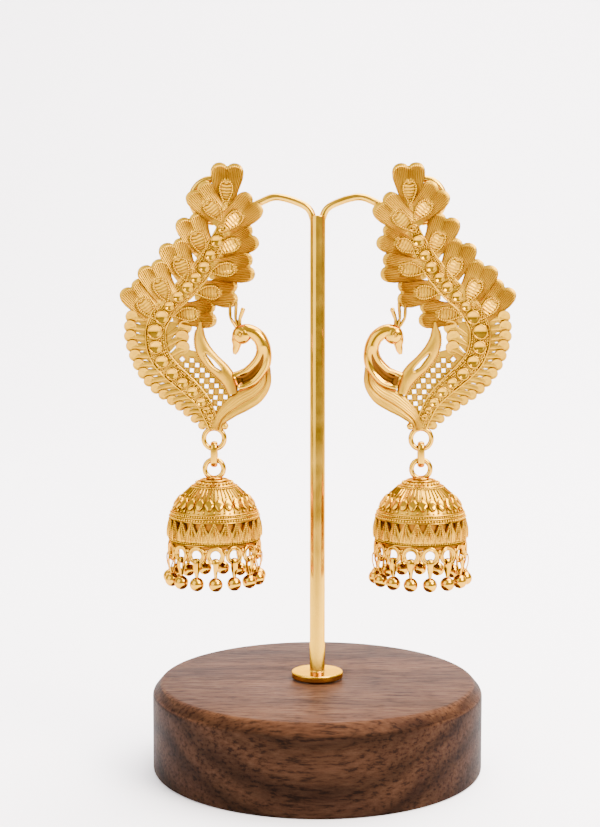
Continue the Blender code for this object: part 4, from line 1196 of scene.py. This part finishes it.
BELL_BEAD_RINGS = (
    BeadRing(0.950, 0.06, 0.30, 26), BeadRing(0.892, 0.02, 0.16, 72), BeadRing(0.494, 0.16, 0.19, 108),
    BeadRing(0.437, 0.14, 0.22, 96), BeadRing(0.090, 0.06, 0.18, 110),
)
BELL_RING_RADIUS = 1.825
BELL_RING_WIRE = 0.505
BELL_RING_HEIGHT = 14.58

def bell_radius(share):
    """The outer radius of the bell at a share of its height."""
    if share < 0.40:
        return BELL_RADIUS * (0.925 + 0.035 * math.sin(math.pi * (0.42 - share) / 0.42))
    rows = BELL_WALL_LINE[::-1]
    for lower, upper in zip(rows, rows[1:]):
        if share <= upper.height:
            part = (share - lower.height) / (upper.height - lower.height)
            return BELL_RADIUS * (lower.radius + (upper.radius - lower.radius) * part)
    return BELL_RADIUS * rows[-1].radius

def bell_point(angle, share, out=0.0):
    """A place on the bell's surface."""
    reach = bell_radius(share) + out
    return Vector((reach * math.cos(angle), reach * math.sin(angle), share * BELL_HEIGHT))

def add_lathed(metal, profile, sides=96):
    """A closed ring or cap turned about the bell's axis from (radius, height) corners."""
    rows = []
    for radius, height in list(profile) + [profile[0]]:
        rows.append([(radius * a, radius * b, height) for a, b in circle(sides)])
    metal.grid(rows, True)

def add_ring_wire(metal, share, out, radius):
    """A wire round the bell."""
    metal.wire([bell_point(math.tau * n / 96, share, out) for n in range(96)], radius, 8, True)

def add_bead_ring(metal, share, out, radius, count):
    """A row of beads round the bell."""
    for number in range(count):
        metal.bead(bell_point(math.tau * number / count, share, out), radius)

def add_pointed_leaf(metal, angle, share, length, width, rise):
    """A domed leaf with two points, standing on the bell."""
    centre = bell_point(angle, share)
    up = (bell_point(angle, share + 0.05) - bell_point(angle, share - 0.05)).normalized()
    side = Vector((-math.sin(angle), math.cos(angle), 0.0))
    out = side.cross(up)
    if out.dot(Vector((math.cos(angle), math.sin(angle), 0.0))) < 0.0:
        out = -out
    rows = []
    for step in range(1, 10):
        along = -1.0 + step / 5.0
        half = width * 0.5 * (1.0 - abs(along) ** 1.6)
        spot = centre + up * along * length * 0.5
        row = []
        for turn in range(9):
            across = math.pi * turn / 8
            crown = rise * (1.0 - along ** 4) * math.sin(across) ** 0.4
            row.append(spot + side * math.cos(across) * half + out * (crown + 0.02))
        row.append(spot - out * 0.2)
        rows.append(row)
    metal.grid(rows, True, True)

def add_tooth(metal, ridges, beads, angle):
    """One tooth of the belt: a grained base that ends in a point, with a wired ridge down it."""
    half_pitch = math.pi / TEETH_COUNT
    rows = []
    edges = ([], [], [])
    for step in range(11):
        share = TEETH_FOOT + (TEETH_TIP - TEETH_FOOT) * step / 10
        base = min(1.0, 1.0 - 0.88 * (share - TEETH_WEB) / (TEETH_TIP - TEETH_WEB))
        ridge = 0.82 - 0.74 * step / 10
        crown = TOOTH_RIDGE * (1.0 - 0.75 * (step / 10) ** 2)
        row = [bell_point(angle - base * half_pitch, share, -TOOTH_DEPTH)]
        for across, out in ((-base, 0.0), (-ridge, 0.02), (0.0, crown), (ridge, 0.02), (base, 0.0)):
            row.append(bell_point(angle + across * half_pitch, share, out))
        row.append(bell_point(angle + base * half_pitch, share, -TOOTH_DEPTH))
        rows.append(row)
        for edge, across, out in zip(edges, (-ridge, 0.0, ridge), (0.06, crown, 0.06)):
            edge.append(bell_point(angle + across * half_pitch, share, out))
        if 0 < step < 10:
            for across, out in ((0.45 * ridge, 0.55 * crown), (0.5 * (ridge + base), 0.02)):
                for sense in (-1, 1):
                    beads.bead(bell_point(angle + sense * across * half_pitch, share, out), TOOTH_BEAD)
    metal.grid(rows, True, True)
    for edge in edges:
        ridges.wire(edge, TOOTH_WIRE, 6)

def add_hoop(metal, angle):
    """A hoop under the rim: two wires and the web between them."""
    outward = Vector((math.cos(angle), math.sin(angle), 0.0))
    sideways = Vector((-outward.y, outward.x, 0.0))
    middle = outward * HOOP_RING + Vector((0.0, 0.0, HOOP_CENTRE))
    for radius, thickness, sides in HOOP_WIRES:
        path = [middle + sideways * radius * a + Vector((0.0, 0.0, radius * b)) for a, b in circle(40)]
        metal.wire(path, thickness, sides, True)

def bell_lining():
    """The dull inner face of the dome, seen through the belt's gaps, darker with painted shade."""
    lining = Metalwork()
    shares = (0.42, 0.50, 0.60, 0.70, 0.80, 0.90, 0.95)
    outer = [(bell_radius(share) - LINING_GAP, share * BELL_HEIGHT - 0.3) for share in shares]
    below = (0.05, 0.12, 0.20, 0.30, 0.38)
    low = [(bell_radius(share) - LINING_GAP, share * BELL_HEIGHT) for share in below]
    line = low + outer
    inner = [(max(0.1, radius - 0.12), height - 0.05) for radius, height in line[::-1]]
    add_lathed(lining, line + inner)
    skirt = (0.0, 0.055 * BELL_HEIGHT)
    add_lathed(lining, [(RIM_RADIUS - 0.28, skirt[0]), (RIM_RADIUS - 0.28, skirt[1]),
                        (RIM_RADIUS - 0.60, skirt[1]), (RIM_RADIUS - 0.60, skirt[0])])
    return lining

def bell_shapes(turn):
    """The bell's wall, its bright relief, its beads and its hoops."""
    wall = Metalwork()
    relief = Metalwork()
    beads = Metalwork()
    hoops = Metalwork()
    outer = [(row.radius * BELL_RADIUS - 0.16, row.height * BELL_HEIGHT) for row in BELL_WALL_LINE]
    inner = [(max(0.05, radius - 0.40), height - 0.45) for radius, height in outer[::-1]]
    inner[0] = (inner[0][0], outer[-1][1])
    add_lathed(wall, [(0.02, BELL_HEIGHT)] + outer + inner + [(0.02, BELL_HEIGHT - 0.5)])
    rim = [
        (RIM_RADIUS - 0.30, 0.072), (RIM_RADIUS + 0.02, 0.066), (RIM_RADIUS + 0.06, 0.056),
        (RIM_RADIUS - 0.05, 0.046), (RIM_RADIUS - 0.30, 0.044),
    ]
    add_lathed(relief, [(radius, share * BELL_HEIGHT) for radius, share in rim])
    add_lathed(relief, [
        (0.02, 12.4), (1.2, 12.4), (1.62, 12.55), (1.66, 12.8), (1.5, 12.98), (1.1, 13.05), (0.02, 13.05),
    ], 48)
    for ring in BELL_RING_WIRES:
        add_ring_wire(relief, *ring)
    for ring in BELL_BEAD_RINGS:
        add_bead_ring(beads, *ring)
    for number in range(TEETH_COUNT):
        angle = turn + math.tau * number / TEETH_COUNT
        between = angle + math.pi / TEETH_COUNT
        add_pointed_leaf(relief, angle, **BELL_LEAF)
        relief.wire([bell_point(between, 0.575 + 0.30 * n / 8, 0.0) for n in range(9)], BELL_RIB_WIRE, 6)
        relief.wire([bell_point(angle, 0.77 + 0.11 * n / 5, 0.0) for n in range(6)], BELL_STEM_WIRE, 6)
        beads.bead(bell_point(angle, 0.785, 0.08), 0.20)
        beads.bead(bell_point(between, 0.563, 0.06), 0.24)
        beads.bead(bell_point(between + math.pi / TEETH_COUNT, 0.548, 0.0), 0.17)
        add_tooth(wall, relief, beads, between)
    web = [(bell_radius(share) - 0.15, share * BELL_HEIGHT) for share in (0.06, 0.085, 0.11)]
    add_lathed(wall, web + [(radius - 0.30, height) for radius, height in web[::-1]])
    for number in range(HOOP_COUNT):
        angle = turn + math.tau * number / HOOP_COUNT
        add_hoop(hoops, angle)
        gap = angle + math.pi / HOOP_COUNT
        for height, size in GAP_BEADS:
            hoops.bead((HOOP_RING * math.cos(gap), HOOP_RING * math.sin(gap), height), size)
    path = [(BELL_RING_RADIUS * a, 0.0, BELL_RING_HEIGHT + BELL_RING_RADIUS * b) for a, b in circle(48)]
    hoops.wire(path, BELL_RING_WIRE, 16, True)
    return wall, relief, beads, hoops

for side in ("left", "right"):
    body = f"bell_{side}"
    bell_place = hung_place(f"{body}_swing", BELL_DROP)
    wall, relief, beads, hoops = bell_shapes(math.radians(BELL_TURN[side]))
    add_metalwork(wall, "bell_dome", side, bell_place, grained_gold, body, [body])
    add_metalwork(bell_lining(), "bell_lining", side, bell_place, dull_painted_shade_gold, body)
    add_metalwork(relief, "bell_relief", side, bell_place, polished_gold, body)
    add_metalwork(beads, "bell_beads", side, bell_place, bright_gold, body)
    add_metalwork(hoops, "bell_hoops", side, bell_place, polished_gold, body)

# The drops: a polished hollow ball on a folded strip that loops through each hoop. They hang
# free, one to a hoop.
DROP_BALL_RADIUS = 1.36
DROP_BALL_CENTRE = -4.15
DROP_STRIP_TOP = 0.78
DROP_STRIP_THICKNESS = 0.26
DROP_COLLAR = 0.34
HOOP_FOOT = HOOP_CENTRE - HOOP_RADIUS

def drop_shape():
    """Strip and ball, in the frame of the hoop wire that they hang on."""
    drop = Metalwork()
    neck = DROP_BALL_CENTRE + DROP_BALL_RADIUS * 0.96
    guide = [
        (0.16, neck, 0.26), (0.30, neck + 0.7, 0.34), (0.56, neck + 1.7, 0.46), (0.60, 0.0, 0.50),
        (0.44, 0.56, 0.50), (0.0, DROP_STRIP_TOP, 0.50), (-0.44, 0.56, 0.50), (-0.60, 0.0, 0.50),
        (-0.56, neck + 1.7, 0.46), (-0.30, neck + 0.7, 0.34), (-0.16, neck, 0.26),
    ]
    line = smooth_path(guide, 4)
    rows = []
    for index, (depth, height, half) in enumerate(line):
        before = line[max(0, index - 1)]
        after = line[min(len(line) - 1, index + 1)]
        run = Vector((after[0] - before[0], after[1] - before[1])).normalized()
        row = []
        for cosine, sine in circle(8):
            thick = DROP_STRIP_THICKNESS * 0.5 * sine
            row.append((half * cosine, depth - run.y * thick, height + run.x * thick))
        rows.append(row)
    drop.grid(rows, True, True)
    drop.bead((0.0, 0.0, DROP_BALL_CENTRE + DROP_BALL_RADIUS + 0.02), DROP_COLLAR, True)
    ball = []
    for row in range(17):
        angle = math.pi * (row + 0.15) / 16.3
        reach = DROP_BALL_RADIUS * math.sin(angle)
        height = DROP_BALL_CENTRE + DROP_BALL_RADIUS * math.cos(angle)
        ball.append([(reach * a, reach * b, height) for a, b in circle(28)])
    drop.grid(ball, True, True)
    return drop

def drop_place(side, angle):
    """The map from a drop's own millimetres to its hoop, in metres."""
    centre = Vector(hinge_places[f"bell_{side}_swing"])
    spin = Matrix.Rotation(angle + math.pi / 2, 4, "Z")
    spot = Vector((HOOP_RING * math.cos(angle), HOOP_RING * math.sin(angle), HOOP_FOOT - BELL_DROP))

    def place(vert):
        return tuple(centre + (spin @ Vector(vert) + spot) * MM)
    return place

drop = drop_shape()
for side in ("left", "right"):
    for number in range(HOOP_COUNT):
        angle = math.radians(BELL_TURN[side]) + math.tau * number / HOOP_COUNT
        count = f"{number + 1:02d}"
        add_metalwork(drop, f"ball_drop_{count}", side, drop_place(side, angle), polished_gold,
                      f"bell_{side}", [f"drop_{side}_{count}"])
